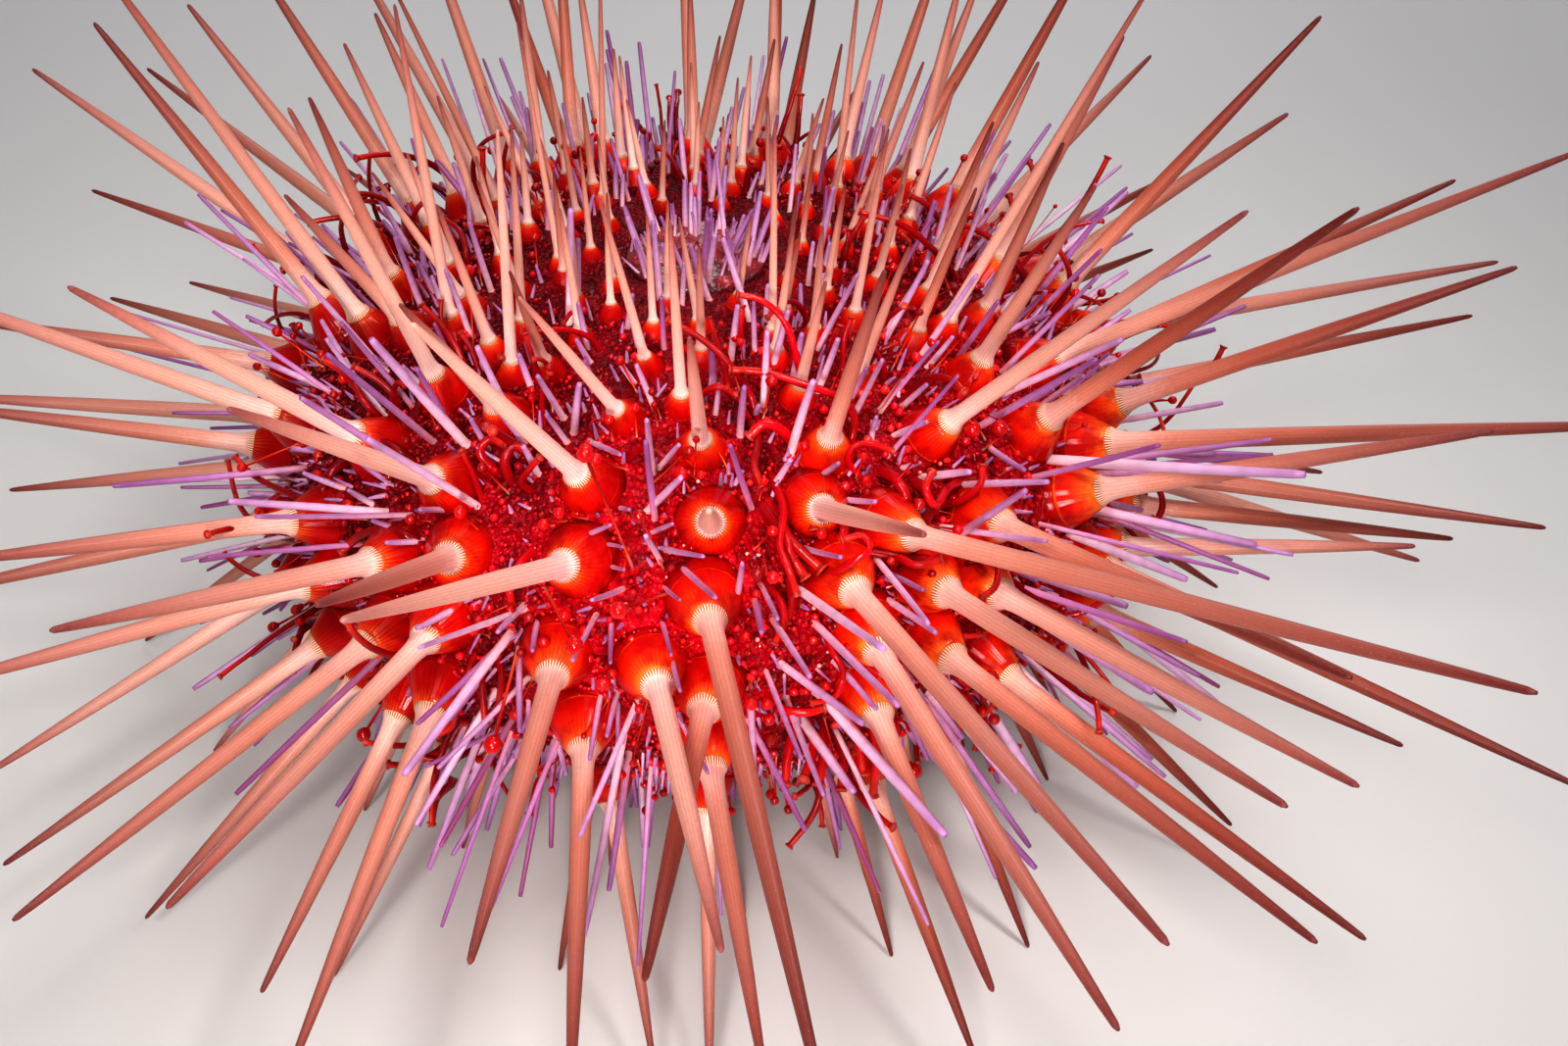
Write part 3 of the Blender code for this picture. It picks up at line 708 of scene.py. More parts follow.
def turned_form(name, outline, sides):
    """A closed form turned about Z, from pairs of height and radius, bottom first."""
    mesh = bpy.data.meshes.new(name)
    angles = np.arange(sides) * math.tau / sides
    ring = np.stack([np.cos(angles), np.sin(angles)], axis=1)
    points = [np.column_stack([ring * radius, np.full(sides, height)]) for height, radius in outline]
    points += [[[0, 0, outline[0][0]]], [[0, 0, outline[-1][0]]]]
    count = len(outline)
    low, high = sides * count, sides * count + 1
    faces = [(row * sides + turn, row * sides + (turn + 1) % sides,
              (row + 1) * sides + (turn + 1) % sides, (row + 1) * sides + turn)
             for row in range(count - 1) for turn in range(sides)]
    faces += [(low, (turn + 1) % sides, turn) for turn in range(sides)]
    faces += [(high, sides * (count - 1) + turn, sides * (count - 1) + (turn + 1) % sides)
              for turn in range(sides)]
    points = np.concatenate(points)
    mesh.from_pydata(points, [], faces)
    store(mesh, "local", points)
    store(mesh, "along", np.append(np.repeat(np.arange(count) / (count - 1), sides), [0.0, 1.0]))
    return bpy.data.objects.new(name, mesh)


def in_metres(outline, shaft=()):
    """An outline given in millimetres, then a shaft: share of its length and radius in millimetres."""
    return ([(height / 1000, radius / 1000) for height, radius in outline]
            + [(share, radius / 1000) for share, radius in shaft])


class Growth(Nodes):
    """A node group that makes a piece out of the geometry it is given."""

    def __init__(self, name, source, *inputs):
        super().__init__(bpy.data.node_groups.new(name, "GeometryNodeTree"))
        new_socket = self.tree.interface.new_socket
        new_socket(source, in_out="INPUT", socket_type="NodeSocketGeometry")
        self.sockets = {}
        for key, kind in (*inputs, ("Finish", "Material")):
            made = new_socket(key, in_out="INPUT", socket_type=f"NodeSocket{kind}")
            self.sockets[key] = made.identifier
        new_socket("Piece", in_out="OUTPUT", socket_type="NodeSocketGeometry")
        self.start = self.add("NodeGroupInput")

    def named(self, name, kind="FLOAT_VECTOR"):
        return self.add("GeometryNodeInputNamedAttribute", {"Name": name}, data_type=kind)

    def close(self, made):
        """Smooths what was made, gives it its finish and returns the group with its inputs."""
        smooth = self.add("GeometryNodeSetShadeSmooth", {"Geometry": made})
        dressed = self.add("GeometryNodeSetMaterial", {"Geometry": smooth,
                                                       "Material": self.start.other("Finish")})
        end = self.tree.nodes.new("NodeGroupOutput")
        self.tree.links.new(dressed.socket, end.inputs["Piece"])
        return self.tree, self.sockets


def standing_tree():
    """Node group that stands a form on every point, turned to its heading, bent and made real."""
    nodes = Growth("forms_on_points", "Points", ("Form", "Object"))
    start = nodes.start
    heading, grow, bend = nodes.named("heading"), nodes.named("grow"), nodes.named("bend")
    turn = nodes.add("FunctionNodeAlignRotationToVector", {"Vector": heading}, axis="Z")
    form = nodes.add("GeometryNodeObjectInfo", {"Object": start.other("Form")}, out="Geometry")
    stood = nodes.add("GeometryNodeInstanceOnPoints", {"Points": start, "Instance": form,
                                                       "Rotation": turn, "Scale": grow})
    real = nodes.add("GeometryNodeRealizeInstances", {0: stood})
    height = nodes.add("ShaderNodeSeparateXYZ", {0: nodes.named("local")}, out="Z")
    girth = nodes.add("ShaderNodeSeparateXYZ", {0: grow})
    foot = height.math("MINIMUM", 0.0) * (girth - girth.other("Z"))
    sway = height.math("MAXIMUM", 0.0) ** 2.0
    foot_move = nodes.add("ShaderNodeVectorMath", {0: heading, "Scale": foot}, operation="SCALE")
    sway_move = nodes.add("ShaderNodeVectorMath", {0: bend, "Scale": sway}, operation="SCALE")
    move = nodes.add("ShaderNodeVectorMath", {0: foot_move, 1: sway_move}, operation="ADD")
    return nodes.close(nodes.add("GeometryNodeSetPosition", {"Geometry": real, "Offset": move}))


STANDING = standing_tree()


def read(mesh, name, kind, width):
    values = np.zeros(len(mesh.vertices) * width, "f")
    mesh.attributes[name].data.foreach_get(kind, values)
    return values.reshape(-1, width)


def bake_map(mesh, places):
    """The unwrap of a piece for the bake, from the place of each of its points."""
    corners = np.zeros(len(mesh.loops), "i")
    mesh.loops.foreach_get("vertex_index", corners)
    mesh.uv_layers.new(name="OFBake").data.foreach_set("uv", places[corners].astype("f").ravel())


def bake_patches(mesh, patch):
    """Gives each form a round patch of the unwrap at its root: its foot the rim, its tip the middle."""
    local, along = read(mesh, "local", "vector", 3), read(mesh, "along", "value", 1)
    root = read(mesh, "root", "vector", 3)[:, :2]
    out = local[:, :2] / np.maximum(np.linalg.norm(local[:, :2], axis=1, keepdims=True), 1e-9)
    bake_map(mesh, root + out * patch / 2 * (1 - 0.94 * along))


def grown(name, seeds, tree, inputs, patch, spent):
    """A piece that a node group makes from a mesh of seeds, as one plain mesh at the origin."""
    piece = put(name, seeds)
    grower = piece.modifiers.new("grow", "NODES")
    grower.node_group, sockets = tree
    for key, value in inputs.items():
        grower[sockets[key]] = value
    mesh = bpy.data.meshes.new_from_object(piece.evaluated_get(bpy.context.evaluated_depsgraph_get()))
    piece.modifiers.remove(grower)
    piece.data = mesh
    mesh.name = name
    bpy.data.meshes.remove(seeds)
    bake_patches(mesh, patch)
    for key in spent:
        mesh.attributes.remove(mesh.attributes[key])
    return piece


def stand(name, at, heading, grow, place, form, finish, patch, tint, bend=None):
    """A piece made of one form standing at many points."""
    count = len(at)
    points = bpy.data.meshes.new(name + "_points")
    points.vertices.add(count)
    points.vertices.foreach_set("co", (np.asarray(at) + MIDDLE).astype("f").ravel())
    place = np.column_stack([unwrapped(*np.asarray(place, float).T), np.zeros(count)])
    vectors = {"heading": heading, "grow": grow, "root": place,
               "bend": np.zeros((count, 3)) if bend is None else bend, "tint": tint}
    for key, values in vectors.items():
        store(points, key, values)
    return grown(name, points, STANDING, {"Form": form, "Finish": finish.material}, patch,
                 ("heading", "grow", "root", "bend", "along"))


primary_form = turned_form("primary_form", in_metres(SPINE_FOOT, SPINE_SHAFT), PRIMARY_SIDES)
# The form's radii are in metres at full girth, and its foot's heights too, so that a girth of 1
# scales them and the spine's length scales the shaft alone.
lime = Finish("spine_lime", Roughness=0.38, Specular_IOR_Level=0.32,
              Subsurface_Weight=0.10, Subsurface_Scale=0.001)
local = lime.attribute("local", out="Vector")
tint = lime.attribute("tint")
parts = lime.add("ShaderNodeSeparateXYZ", {0: local})
height = parts.other("Z")
turn = parts.other("Y").math("ARCTAN2", parts)
share = height.math("MAXIMUM", 0.0)
streak = lime.cloud(2200, 3)
warm = lime.ramp(share + (streak - 0.5) * 0.10, (0.0, (0.86, 0.50, 0.42)), (0.09, (0.72, 0.29, 0.205)),
                 (0.30, (0.48, 0.145, 0.092)), (0.60, (0.28, 0.068, 0.047)), (0.85, (0.18, 0.037, 0.029)),
                 (1.0, (0.10, 0.014, 0.014)))
pale = lime.ramp(share + (streak - 0.5) * 0.10, (0.0, (1.0, 0.76, 0.70)), (0.25, (0.94, 0.59, 0.49)),
                 (0.60, (0.83, 0.45, 0.37)), (0.85, (0.58, 0.24, 0.20)), (1.0, (0.28, 0.09, 0.09)))
shaft = lime.blend(tint, warm, pale)
# Painted light: a shade above 10 keeps the pale colour to the tip, for spines that point towards the camera and
# the front lamps.
near = lime.ramp(share, (0.0, (1.0, 0.80, 0.74)), (0.35, (1.0, 0.67, 0.57)), (0.75, (1.0, 0.61, 0.50)),
                 (1.0, (0.96, 0.56, 0.45)))
shaft = lime.blend((tint - 1.0) * 2.5, shaft, near)
rib = (turn * 18.0 + streak * 3.0).wave()
milled = (turn * 36.0).wave()
in_ring = lime.carry(height, -0.0021, -0.0026, 0.0, 1.0)
ring_colour = lime.blend(milled, rgb(0.62, 0.05, 0.012), rgb(1.0, 0.90, 0.66))
# Streaks along the shaft: a field stretched along it
stretched = lime.add("ShaderNodeVectorMath", {0: local, 1: (7500.0, 7500.0, 60.0)}, operation="MULTIPLY")
fibre = lime.add("ShaderNodeTexNoise", {"Vector": stretched, "Scale": 1.0, "Detail": 3.0})
lines = lime.carry(fibre, 0.44, 0.70, 0.0, 0.14)
shaft = lime.blend(lines, shaft, rgb(0.46, 0.10, 0.07))
shaft = lime.blend(rib * 0.20, shaft, rgb(0.42, 0.07, 0.05))
speckle = lime.carry(lime.cells(2600), 0.06, 0.16, 0.25, 0.0)
shaft = lime.blend(speckle, shaft, rgb(0.90, 0.58, 0.46))
lime.feed(Base_Color=lime.blend(in_ring, shaft, ring_colour))
lime.relief(rib * (1 - in_ring) * 0.20 + milled * in_ring * 2.0, 0.6, 0.00012)

tints = np.random.default_rng(7)
# Shades of the posed spines in their order, in tenths: 0 is the warm shade, 10 the pale one, and
# above 10 the pale shade lasts to the tip. They are partly each spine's own tone and partly
# painted light: the palest, above all those over 10, paint light on spines that point towards
# the camera and the front lamps
POSED_TONES_AND_LIGHT = (13, 1, 11, 8, 3, 2, 2, 10, 10, 11, 13, 9, 2, 3, 4, 3, 1, 5, 2, 6, 6, 1, 7, 6, 3, 1, 5, 10, 4, 5,
                5, 3, 3, 3, 9, 3, 8, 12, 7, 5, 2, 2, 8, 6, 3, 1, 4, 9, 8, 5, 3, 3, 5, 5, 8, 3, 5)
for spine in primaries:
    upper = np.clip((spine["place"][1] - 35) / 30, 0, 1)
    usual = 0.5 * upper + np.clip(0.10 - 0.5 * spine["heading"][0], 0, 0.4)
    spine["tint"] = float(np.clip(tints.normal(usual, 0.22), 0, 1))
for spine, shade in zip(primaries, POSED_TONES_AND_LIGHT):
    spine["tint"] = shade / 10
for piece_name, names, slot in (("primary_spines_interambulacral", INTER_NAMES, "spiny_interambulacra"),
                                ("primary_spines_ambulacral", AMBU_NAMES, "spiny_ambulacra")):
    group = [spine for spine in primaries if spine["zone"] in names]
    lifts = np.array([(MILLED_LIFT + FLARE_HEIGHT) * spine["size"] for spine in group])
    headings = each(group, "heading")
    at = each(group, "base") + headings * lifts[:, None]
    lengths = np.array([min(spine["length"], to_floor(spine["base"], spine["heading"]) - 0.0002)
                        for spine in group]) - lifts
    sizes = each(group, "size")
    piece = stand(piece_name, at, headings, np.column_stack([sizes, sizes, lengths]),
                  each(group, "place"), primary_form, lime, PRIMARY_PATCH,
                  each(group, "tint"))
    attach(piece, "root")
    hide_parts(*names)


# The collars: glossy domes of muscle that hold each primary spine on its boss, orange-red with
# fine cords that run up to the milled ring, and a bright line round the foot. Part of their
# colour is painted light and shade: glowing orange-yellow on some, deep red on those low down
# and on the left.
COLLAR_SIDES = 24
COLLAR_PATCH = 0.020
# Height over the skin and radius, in millimetres at full girth
COLLAR_OUTLINE = ((-1.3, 4.30), (-0.4, 4.36), (0.2, 4.20), (0.65, 3.92), (0.90, 3.80), (1.08, 3.86),
                  (1.28, 3.74), (2.0, 3.48), (2.9, 3.02), (3.7, 2.58), (4.4, 2.22), (4.85, 1.95), (5.0, 1.66))
collar_form = turned_form("collar_form", in_metres(COLLAR_OUTLINE), COLLAR_SIDES)
cuff = Finish("collar_muscle", Subsurface_Weight=0.25, Subsurface_Scale=0.0015, Specular_IOR_Level=0.16,
              Subsurface_Radius=(1.0, 0.10, 0.05), Coat_Weight=0.12, Coat_Roughness=0.06)
parts = cuff.form_place()
height = parts.other("Z") * 200.0
turn = parts.other("Y").math("ARCTAN2", parts)
cord = (turn * 36.0 + cuff.cloud(400) * 2.0).wave()
body = cuff.ramp(height, (0.0, (0.12, 0.0003, 0.001)), (0.12, (0.30, 0.0008, 0.002)),
                 (0.18, (0.48, 0.002, 0.002)), (0.21, (0.95, 0.13, 0.020)), (0.24, (0.46, 0.002, 0.002)),
                 (0.50, (0.62, 0.004, 0.002)), (0.80, (0.84, 0.012, 0.003)), (1.0, (0.98, 0.07, 0.010)))
# Painted light: the glowing, lit copy of the collar's colour.
amber_painted_glow = cuff.ramp(height, (0.0, (0.24, 0.001, 0.002)), (0.17, (0.60, 0.005, 0.002)),
                  (0.21, (1.0, 0.22, 0.03)), (0.25, (0.66, 0.006, 0.003)), (0.55, (0.92, 0.034, 0.005)),
                  (0.85, (1.0, 0.14, 0.014)), (1.0, (1.0, 0.28, 0.04)))
tint = cuff.attribute("tint")
# Painted light and shade: a high tint turns a collar to the glowing copy, a low one to deep red.
body = cuff.blend(tint * 2.0 - 0.6, body, amber_painted_glow)
body = cuff.blend((0.28 - tint) * 3.0, body, rgb(0.22, 0.0006, 0.003))
body = cuff.blend(cord * height ** 5.0 * 0.45, body, rgb(1.0, 0.34, 0.06))
clot = cuff.carry(cuff.cloud(330, 4), 0.42, 0.62, 0.0, 0.85)
cuff.feed(Base_Color=cuff.blend(clot, body, rgb(0.42, 0.0012, 0.004)),
          Roughness=cuff.cloud(800) * 0.2 + 0.10)
cuff.relief(cord * 0.25 + cuff.cloud(900) * 0.5, 0.35, 0.0002)
tones = np.random.default_rng(29)
for piece_name, names, slot in (("collars_interambulacral", INTER_NAMES, "spiny_interambulacra"),
                                ("collars_ambulacral", AMBU_NAMES, "spiny_ambulacra")):
    group = [spine for spine in primaries if spine["zone"] in names]
    sizes = each(group, "size")
    # The tint is partly random tone and partly painted light and shade: higher on collars that lean to the
    # right, lower on those low down and on the left.
    piece = stand(piece_name, each(group, "base"), each(group, "heading"),
                  np.column_stack([sizes, sizes, sizes]), each(group, "place"),
                  collar_form, cuff, COLLAR_PATCH,
                  [np.clip(tones.normal(0.52 + 0.42 * spine["heading"][0], 0.10), 0.1, 0.95)
                   * np.interp(spine["place"][1], (-20, 10, 40, 65), (0.2, 1.0, 0.8, 0.5))
                   * np.interp(spine["base"][0], (-0.042, -0.012), (0.2, 1.0)) for spine in group])
    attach(piece, "root")
    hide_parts(*names)


# The secondary spines: slender lavender spines between the primaries, many of them in a ring
# round each collar, pale at the foot, faintly banded, with blunt ends.
SECONDARY_FORM_SIDES = 6
SECONDARY_FOOT = ((-1.6, 0.56), (-0.8, 0.66), (-0.5, 0.62), (-0.2, 0.52))
SECONDARY_SHAFT = ((0.0, 0.47), (0.30, 0.48), (0.65, 0.43), (0.96, 0.35), (1.0, 0.28))
# The thin spines of the side that is seen: longitude and latitude of the root, compass bearing and
# rise in degrees, length in millimetres, diameter in tenths of one, and paleness in tenths
THIN_POSED = (
    (-7, 42, 26, 51, 13, 9, 8), (-6, 38, 19, 44, 10, 6, 5), (-15, 36, 21, 43, 11, 6, 4),
    (-4, 35, 17, 37, 15, 7, 4), (-2, 32, 12, 32, 19, 7, 3), (5, 26, 1, 54, 15, 7, 6),
    (-9, 27, -11, 36, 14, 7, 5), (-12, 21, -6, 25, 14, 7, 4), (-4, 28, 9, 35, 13, 5, 1),
    (-10, 20, 2, 25, 11, 6, 1), (-4, 21, 6, 29, 13, 6, 1), (-3, 14, 10, 20, 12, 8, 5),
    (8, 28, 4, 30, 15, 7, 4), (9, 21, 8, 28, 19, 8, 5), (12, 27, 14, 30, 27, 10, 9),
    (14, 19, 13, 26, 25, 9, 4), (16, 10, 21, 14, 10, 8, 3), (14, 4, 25, 8, 24, 13, 7),
    (6, 8, 1, 9, 16, 8, 6), (8, 10, 9, 14, 16, 7, 2), (12, 0, 23, 3, 12, 12, 8), (23, 30, 9, 22, 20, 8, 6),
    (23, 21, 19, 25, 13, 8, 5), (24, 26, 19, 28, 10, 7, 2), (22, 41, 20, 34, 8, 8, 5),
    (26, 38, 20, 32, 9, 6, 3), (14, 34, 15, 34, 13, 7, 3), (19, 30, 14, 34, 6, 5, 1),
    (19, 46, 30, 48, 6, 8, 6), (12, 46, 24, 59, 7, 9, 8), (16, 51, 15, 69, 14, 11, 9),
    (-11, 42, 14, 37, 7, 6, 3), (-12, 35, 15, 39, 10, 5, 3), (-11, 31, 14, 38, 11, 5, 3),
    (16, 23, 15, 32, 8, 7, 1), (24, 6, 20, 5, 4, 10, 5), (25, -2, 16, -8, 8, 8, 3),
    (-11, 4, -4, 2, 9, 7, 2), (-9, 5, -8, 6, 7, 7, 3), (-9, 4, 3, 4, 7, 6, 3), (-17, -8, 16, -11, 5, 8, 4),
    (1, 10, 13, 18, 6, 6, 1), (-2, 1, 19, 6, 9, 7, 3), (1, -4, 25, 4, 7, 7, 3), (-3, 15, 6, 22, 10, 7, 3),
    (-54, 23, -58, 43, 6, 8, 5), (-48, 25, -55, 50, 4, 8, 7), (-41, 24, -45, 50, 5, 7, 5),
    (-35, 33, -30, 36, 6, 8, 7), (-37, 25, -34, 30, 6, 8, 5), (-37, 16, -36, 23, 7, 7, 3),
    (-29, 16, -27, 21, 8, 9, 6), (-39, 6, -38, 7, 6, 8, 5), (-41, 2, -47, 4, 3, 6, 3),
    (-21, 20, -14, 23, 8, 8, 6), (-22, 14, -16, 13, 26, 11, 7), (-19, 18, 0, 20, 8, 7, 4),
    (-21, 10, 6, 7, 13, 8, 3), (-43, -16, -25, -35, 8, 8, 2), (-36, -2, -15, -15, 4, 7, 1),
    (-29, -22, -20, -38, 9, 12, 6), (-20, 0, 3, -5, 5, 6, 2), (-52, -10, -50, -17, 18, 9, 2),
    (-58, -8, -55, -14, 19, 10, 6), (-57, -9, -59, -13, 8, 7, 6), (-64, -3, -65, -1, 10, 8, 3),
    (-66, -2, -71, 3, 6, 8, 5), (-72, 2, -77, 9, 6, 9, 5), (-69, 44, -70, 63, 15, 9, 5),
    (-72, 38, -85, 70, 8, 9, 6), (-73, 31, -69, 41, 11, 9, 5), (-53, 37, -53, 55, 11, 9, 8),
    (-39, 45, -41, 61, 21, 13, 7), (-34, 39, -33, 57, 18, 11, 9), (-61, 60, -59, 79, 10, 8, 5),
    (-43, 58, -49, 70, 11, 8, 6), (-31, 50, -30, 69, 16, 10, 7), (-77, 66, -72, 78, 10, 9, 4),
    (-75, 64, -73, 62, 3, 7, 3), (-35, 62, -47, 73, 9, 8, 4), (-32, 69, -37, 79, 7, 8, 4),
    (-26, 56, -40, 65, 8, 9, 6), (-23, 52, -36, 62, 6, 8, 5), (-35, 46, -33, 67, 6, 8, 4),
    (-25, 45, -22, 66, 6, 9, 8), (-47, 31, -51, 53, 5, 7, 2), (-46, 72, 58, 85, 15, 11, 8),
    (-57, 76, 56, 86, 8, 9, 4), (-92, 21, -90, 30, 10, 9, 2), (-90, 16, -95, 33, 6, 8, 2),
    (-50, 51, -50, 74, 6, 8, 3), (-21, 81, -47, 86, 11, 9, 5), (-8, 81, 43, 86, 6, 7, 6),
    (23, 77, -72, 73, 12, 9, 7), (8, 82, -78, 72, 8, 9, 4), (10, 70, 31, 81, 8, 9, 7),
    (14, 60, 0, 76, 12, 9, 9), (20, 67, 41, 76, 9, 9, 5), (82, 78, 77, 82, 11, 9, 4),
    (61, 76, 73, 82, 7, 9, 5), (35, 68, 60, 70, 12, 8, 4), (27, 61, 40, 71, 9, 9, 8),
    (21, 52, 35, 60, 5, 8, 7), (11, 58, 35, 69, 3, 7, 5), (-6, 50, 31, 54, 7, 8, 8),
    (-7, 49, -5, 67, 11, 8, 9), (-9, 61, -42, 70, 7, 8, 8), (-15, 65, -49, 61, 5, 8, 6),
    (-11, 68, -48, 77, 3, 6, 4), (4, 60, 16, 75, 5, 7, 6), (-29, 67, -54, 66, 4, 8, 3),
    (1, 71, 5, 81, 7, 7, 3), (18, 71, -24, 82, 7, 7, 3), (40, 74, 24, 88, 5, 7, 3),
    (-19, 53, 19, 30, 14, 7, 4), (31, 50, -4, 73, 4, 7, 5), (33, 58, 41, 70, 5, 7, 2),
    (36, 54, 43, 63, 6, 9, 8), (41, 53, 50, 57, 5, 8, 5), (35, 49, 40, 46, 6, 8, 6),
    (54, 64, 63, 69, 12, 9, 5), (56, 63, 58, 55, 7, 8, 6), (6, 47, 23, 57, 4, 7, 6),
    (54, 58, 59, 66, 14, 9, 6), (57, 52, 56, 66, 8, 7, 6), (53, 56, 53, 61, 6, 8, 7),
    (84, 48, 79, 55, 9, 12, 9), (99, 24, 98, 36, 11, 12, 8), (74, 49, 61, 41, 8, 9, 3),
    (58, 44, 56, 44, 18, 10, 6), (63, 36, 61, 53, 8, 8, 6), (63, 38, 59, 47, 4, 7, 4),
    (89, 19, 86, 23, 17, 11, 3), (55, 36, 49, 32, 23, 13, 8), (57, 28, 48, 23, 30, 14, 8),
    (39, 36, 36, 35, 15, 9, 6), (35, 40, 33, 39, 9, 10, 8), (49, 38, 12, 19, 9, 8, 3),
    (33, 43, 33, 45, 4, 7, 4), (77, 9, 73, 7, 14, 12, 3), (82, 21, 72, 19, 7, 11, 3),
    (38, 32, 30, 27, 13, 9, 6), (55, 20, 34, 10, 3, 7, 0), (51, 16, 18, 0, 4, 8, 1),
    (44, 21, 45, 34, 5, 7, 3), (34, 30, 30, 30, 17, 8, 6), (62, 10, 57, 8, 20, 13, 5),
    (41, 17, 37, 18, 17, 13, 6), (33, 17, 27, 16, 19, 12, 5), (40, 10, 35, 7, 21, 14, 5),
    (34, 18, 28, 18, 7, 9, 3), (42, 7, 47, 12, 9, 9, 1), (27, 8, 29, 10, 8, 9, 2), (37, 2, 38, -1, 4, 8, 2),
    (37, 1, 32, -4, 14, 13, 1), (44, -9, 40, -16, 20, 15, 8), (29, -3, 27, -5, 7, 9, 5),
    (60, -7, 51, -18, 22, 12, 7), (40, -17, 35, -29, 13, 15, 8), (41, 17, 31, 14, 6, 8, 2),
    (43, 11, 17, 0, 4, 8, 1), (53, -1, 33, -17, 3, 8, 1), (71, 2, 69, -1, 6, 10, 3),
    (55, 11, 49, 6, 15, 13, 8), (-3, 35, -13, 42, 8, 6, 5),
)
THIN_FORM_GIRTH = 10.4
RING_SECONDARIES = 2
FILLER_TRIES = 340
# Sine of the lowest and the highest latitude of what is scattered
SITE_SINES = (-0.88, 0.97)
COLLAR_EDGE = 0.0037
secondary_form = turned_form("secondary_form", in_metres(SECONDARY_FOOT, SECONDARY_SHAFT),
                             SECONDARY_FORM_SIDES)
lavender = Finish("secondary_lavender", Roughness=0.38, Subsurface_Weight=0.1, Subsurface_Scale=0.001,
                  Specular_IOR_Level=0.4)
parts = lavender.form_place()
height = parts.other("Z")
tint = lavender.attribute("tint")
share = height.math("MAXIMUM", 0.0)
violet = lavender.ramp(share, (0.0, (0.92, 0.40, 0.46)), (0.14, (0.74, 0.36, 0.60)),
                       (0.50, (0.48, 0.21, 0.50)), (1.0, (0.27, 0.09, 0.27)))
pale = lavender.ramp(share, (0.0, (1.0, 0.70, 0.72)), (0.18, (0.96, 0.72, 0.82)),
                     (0.60, (0.80, 0.55, 0.76)), (1.0, (0.50, 0.27, 0.50)))
band = (share * 50.0).wave()
shaft = lavender.blend(tint, violet, pale)
# A tint below 0 darkens the spine: random tone, and painted shade on the spines of the underside.
shaft = lavender.blend(tint * -1.0, shaft, rgb(0.30, 0.06, 0.15))
shaft = lavender.blend(band ** 3.0 * 0.10, shaft, rgb(0.20, 0.06, 0.20))
foot = lavender.carry(height, -0.0002, -0.0008, 0.0, 1.0)
lavender.feed(Base_Color=lavender.blend(foot, shaft, rgb(0.80, 0.09, 0.08)))
extra = np.random.default_rng(11)
# Spines of the underside can take lower tints: painted shade.
thin_spines = [dict(spine, tint=extra.uniform(*((-0.9, 0.9) if spine["place"][1] < 0 else (-0.3, 1.0))),
                    size=extra.uniform(0.62, 0.95))
               for spine in spines.kept if spine["kind"] == "secondary"]


def nearest_collar(point):
    """Distance from a point of the skin to the nearest collar's edge."""
    apart = np.linalg.norm(PRIMARY_BASES - point, axis=1) - PRIMARY_COLLARS
    return apart.min()


PRIMARY_BASES = each(primaries, "base")
PRIMARY_COLLARS = COLLAR_EDGE * each(primaries, "size")


def place_of(point):
    """Longitude and latitude of a point near the skin."""
    longitude = math.degrees(math.atan2(point[0], -point[1]))
    radius = math.hypot(point[0], point[1])
    depth = TEST_RISE if point[2] >= 0 else TEST_DROP
    up = (abs(point[2]) / depth) ** (1 / FULLNESS)
    out = (radius / TEST_RADIUS) ** (1 / FULLNESS)
    return longitude, math.degrees(math.atan2(math.copysign(up, point[2]), out))


def clear_of_floor(base, heading, length):
    return min(length, to_floor(base, heading) - 0.001)


shafts = Spines()
for spine in primaries:
    shafts.place(spine, -1.0)
for longitude, latitude, azimuth, rise, length, girth, paleness in THIN_POSED:
    base, _ = skin(longitude, latitude)
    heading = bearing(azimuth, rise)
    length, size = clear_of_floor(base, heading, length / 1000), girth / THIN_FORM_GIRTH
    foot, tip = base + heading * 0.002, base + heading * length
    if shafts.clearance(foot, tip, 0.0005 * size, 0.0003 * size) > -0.0002:
        thin_spines.append({"base": base, "heading": heading, "length": length, "size": size,
                            "place": (longitude, latitude), "tint": paleness / 10, "kind": "posed"})
POSED_ROOTS = np.array([spine["base"] for spine in thin_spines if spine["kind"] == "posed"])


def among_posed(point, reach):
    """Whether a point of the skin lies near the root of a posed thin spine."""
    return np.linalg.norm(POSED_ROOTS - point, axis=1).min() < reach


def seen(longitude, latitude):
    """Whether a place is on the side that is seen, where the posed thin spines stand."""
    return -70 < longitude < 75 and latitude < 25


for spine in primaries:
    normal = skin(*spine["place"])[1]
    side = np.cross(normal, [0.0, 0.0, 1.0])
    side /= np.linalg.norm(side)
    up = np.cross(side, normal)
    start = extra.uniform(0, 60)
    for count in range(RING_SECONDARIES):
        angle = math.radians(start + count * 360 / RING_SECONDARIES + extra.uniform(-35, 35))
        out = side * math.cos(angle) + up * math.sin(angle)
        away = COLLAR_EDGE * spine["size"] + extra.uniform(0.0007, 0.0016)
        longitude, latitude = place_of(spine["base"] + out * away)
        if not -66 < latitude < 78:
            continue
        base, local_normal = skin(longitude, latitude)
        if nearest_collar(base) < 0.0004 or among_posed(base, 0.0055):
            continue
        if seen(longitude, latitude) and extra.uniform() < 0.6:
            continue
        heading = local_normal + out * extra.uniform(0.05, 0.35)
        heading += extra.normal(0, 0.06, 3)
        heading /= np.linalg.norm(heading)
        length = (0.003 + 0.011 * extra.uniform() ** 2) * (0.5 + 0.5 * spine["size"])
        length = clear_of_floor(base, heading, length)
        if length > 0.003:
            thin_spines.append({"base": base, "heading": heading, "length": length,
                                "size": extra.uniform(0.6, 1.0), "place": (longitude, latitude),
                                "tint": extra.uniform(-0.5, 0.8)})
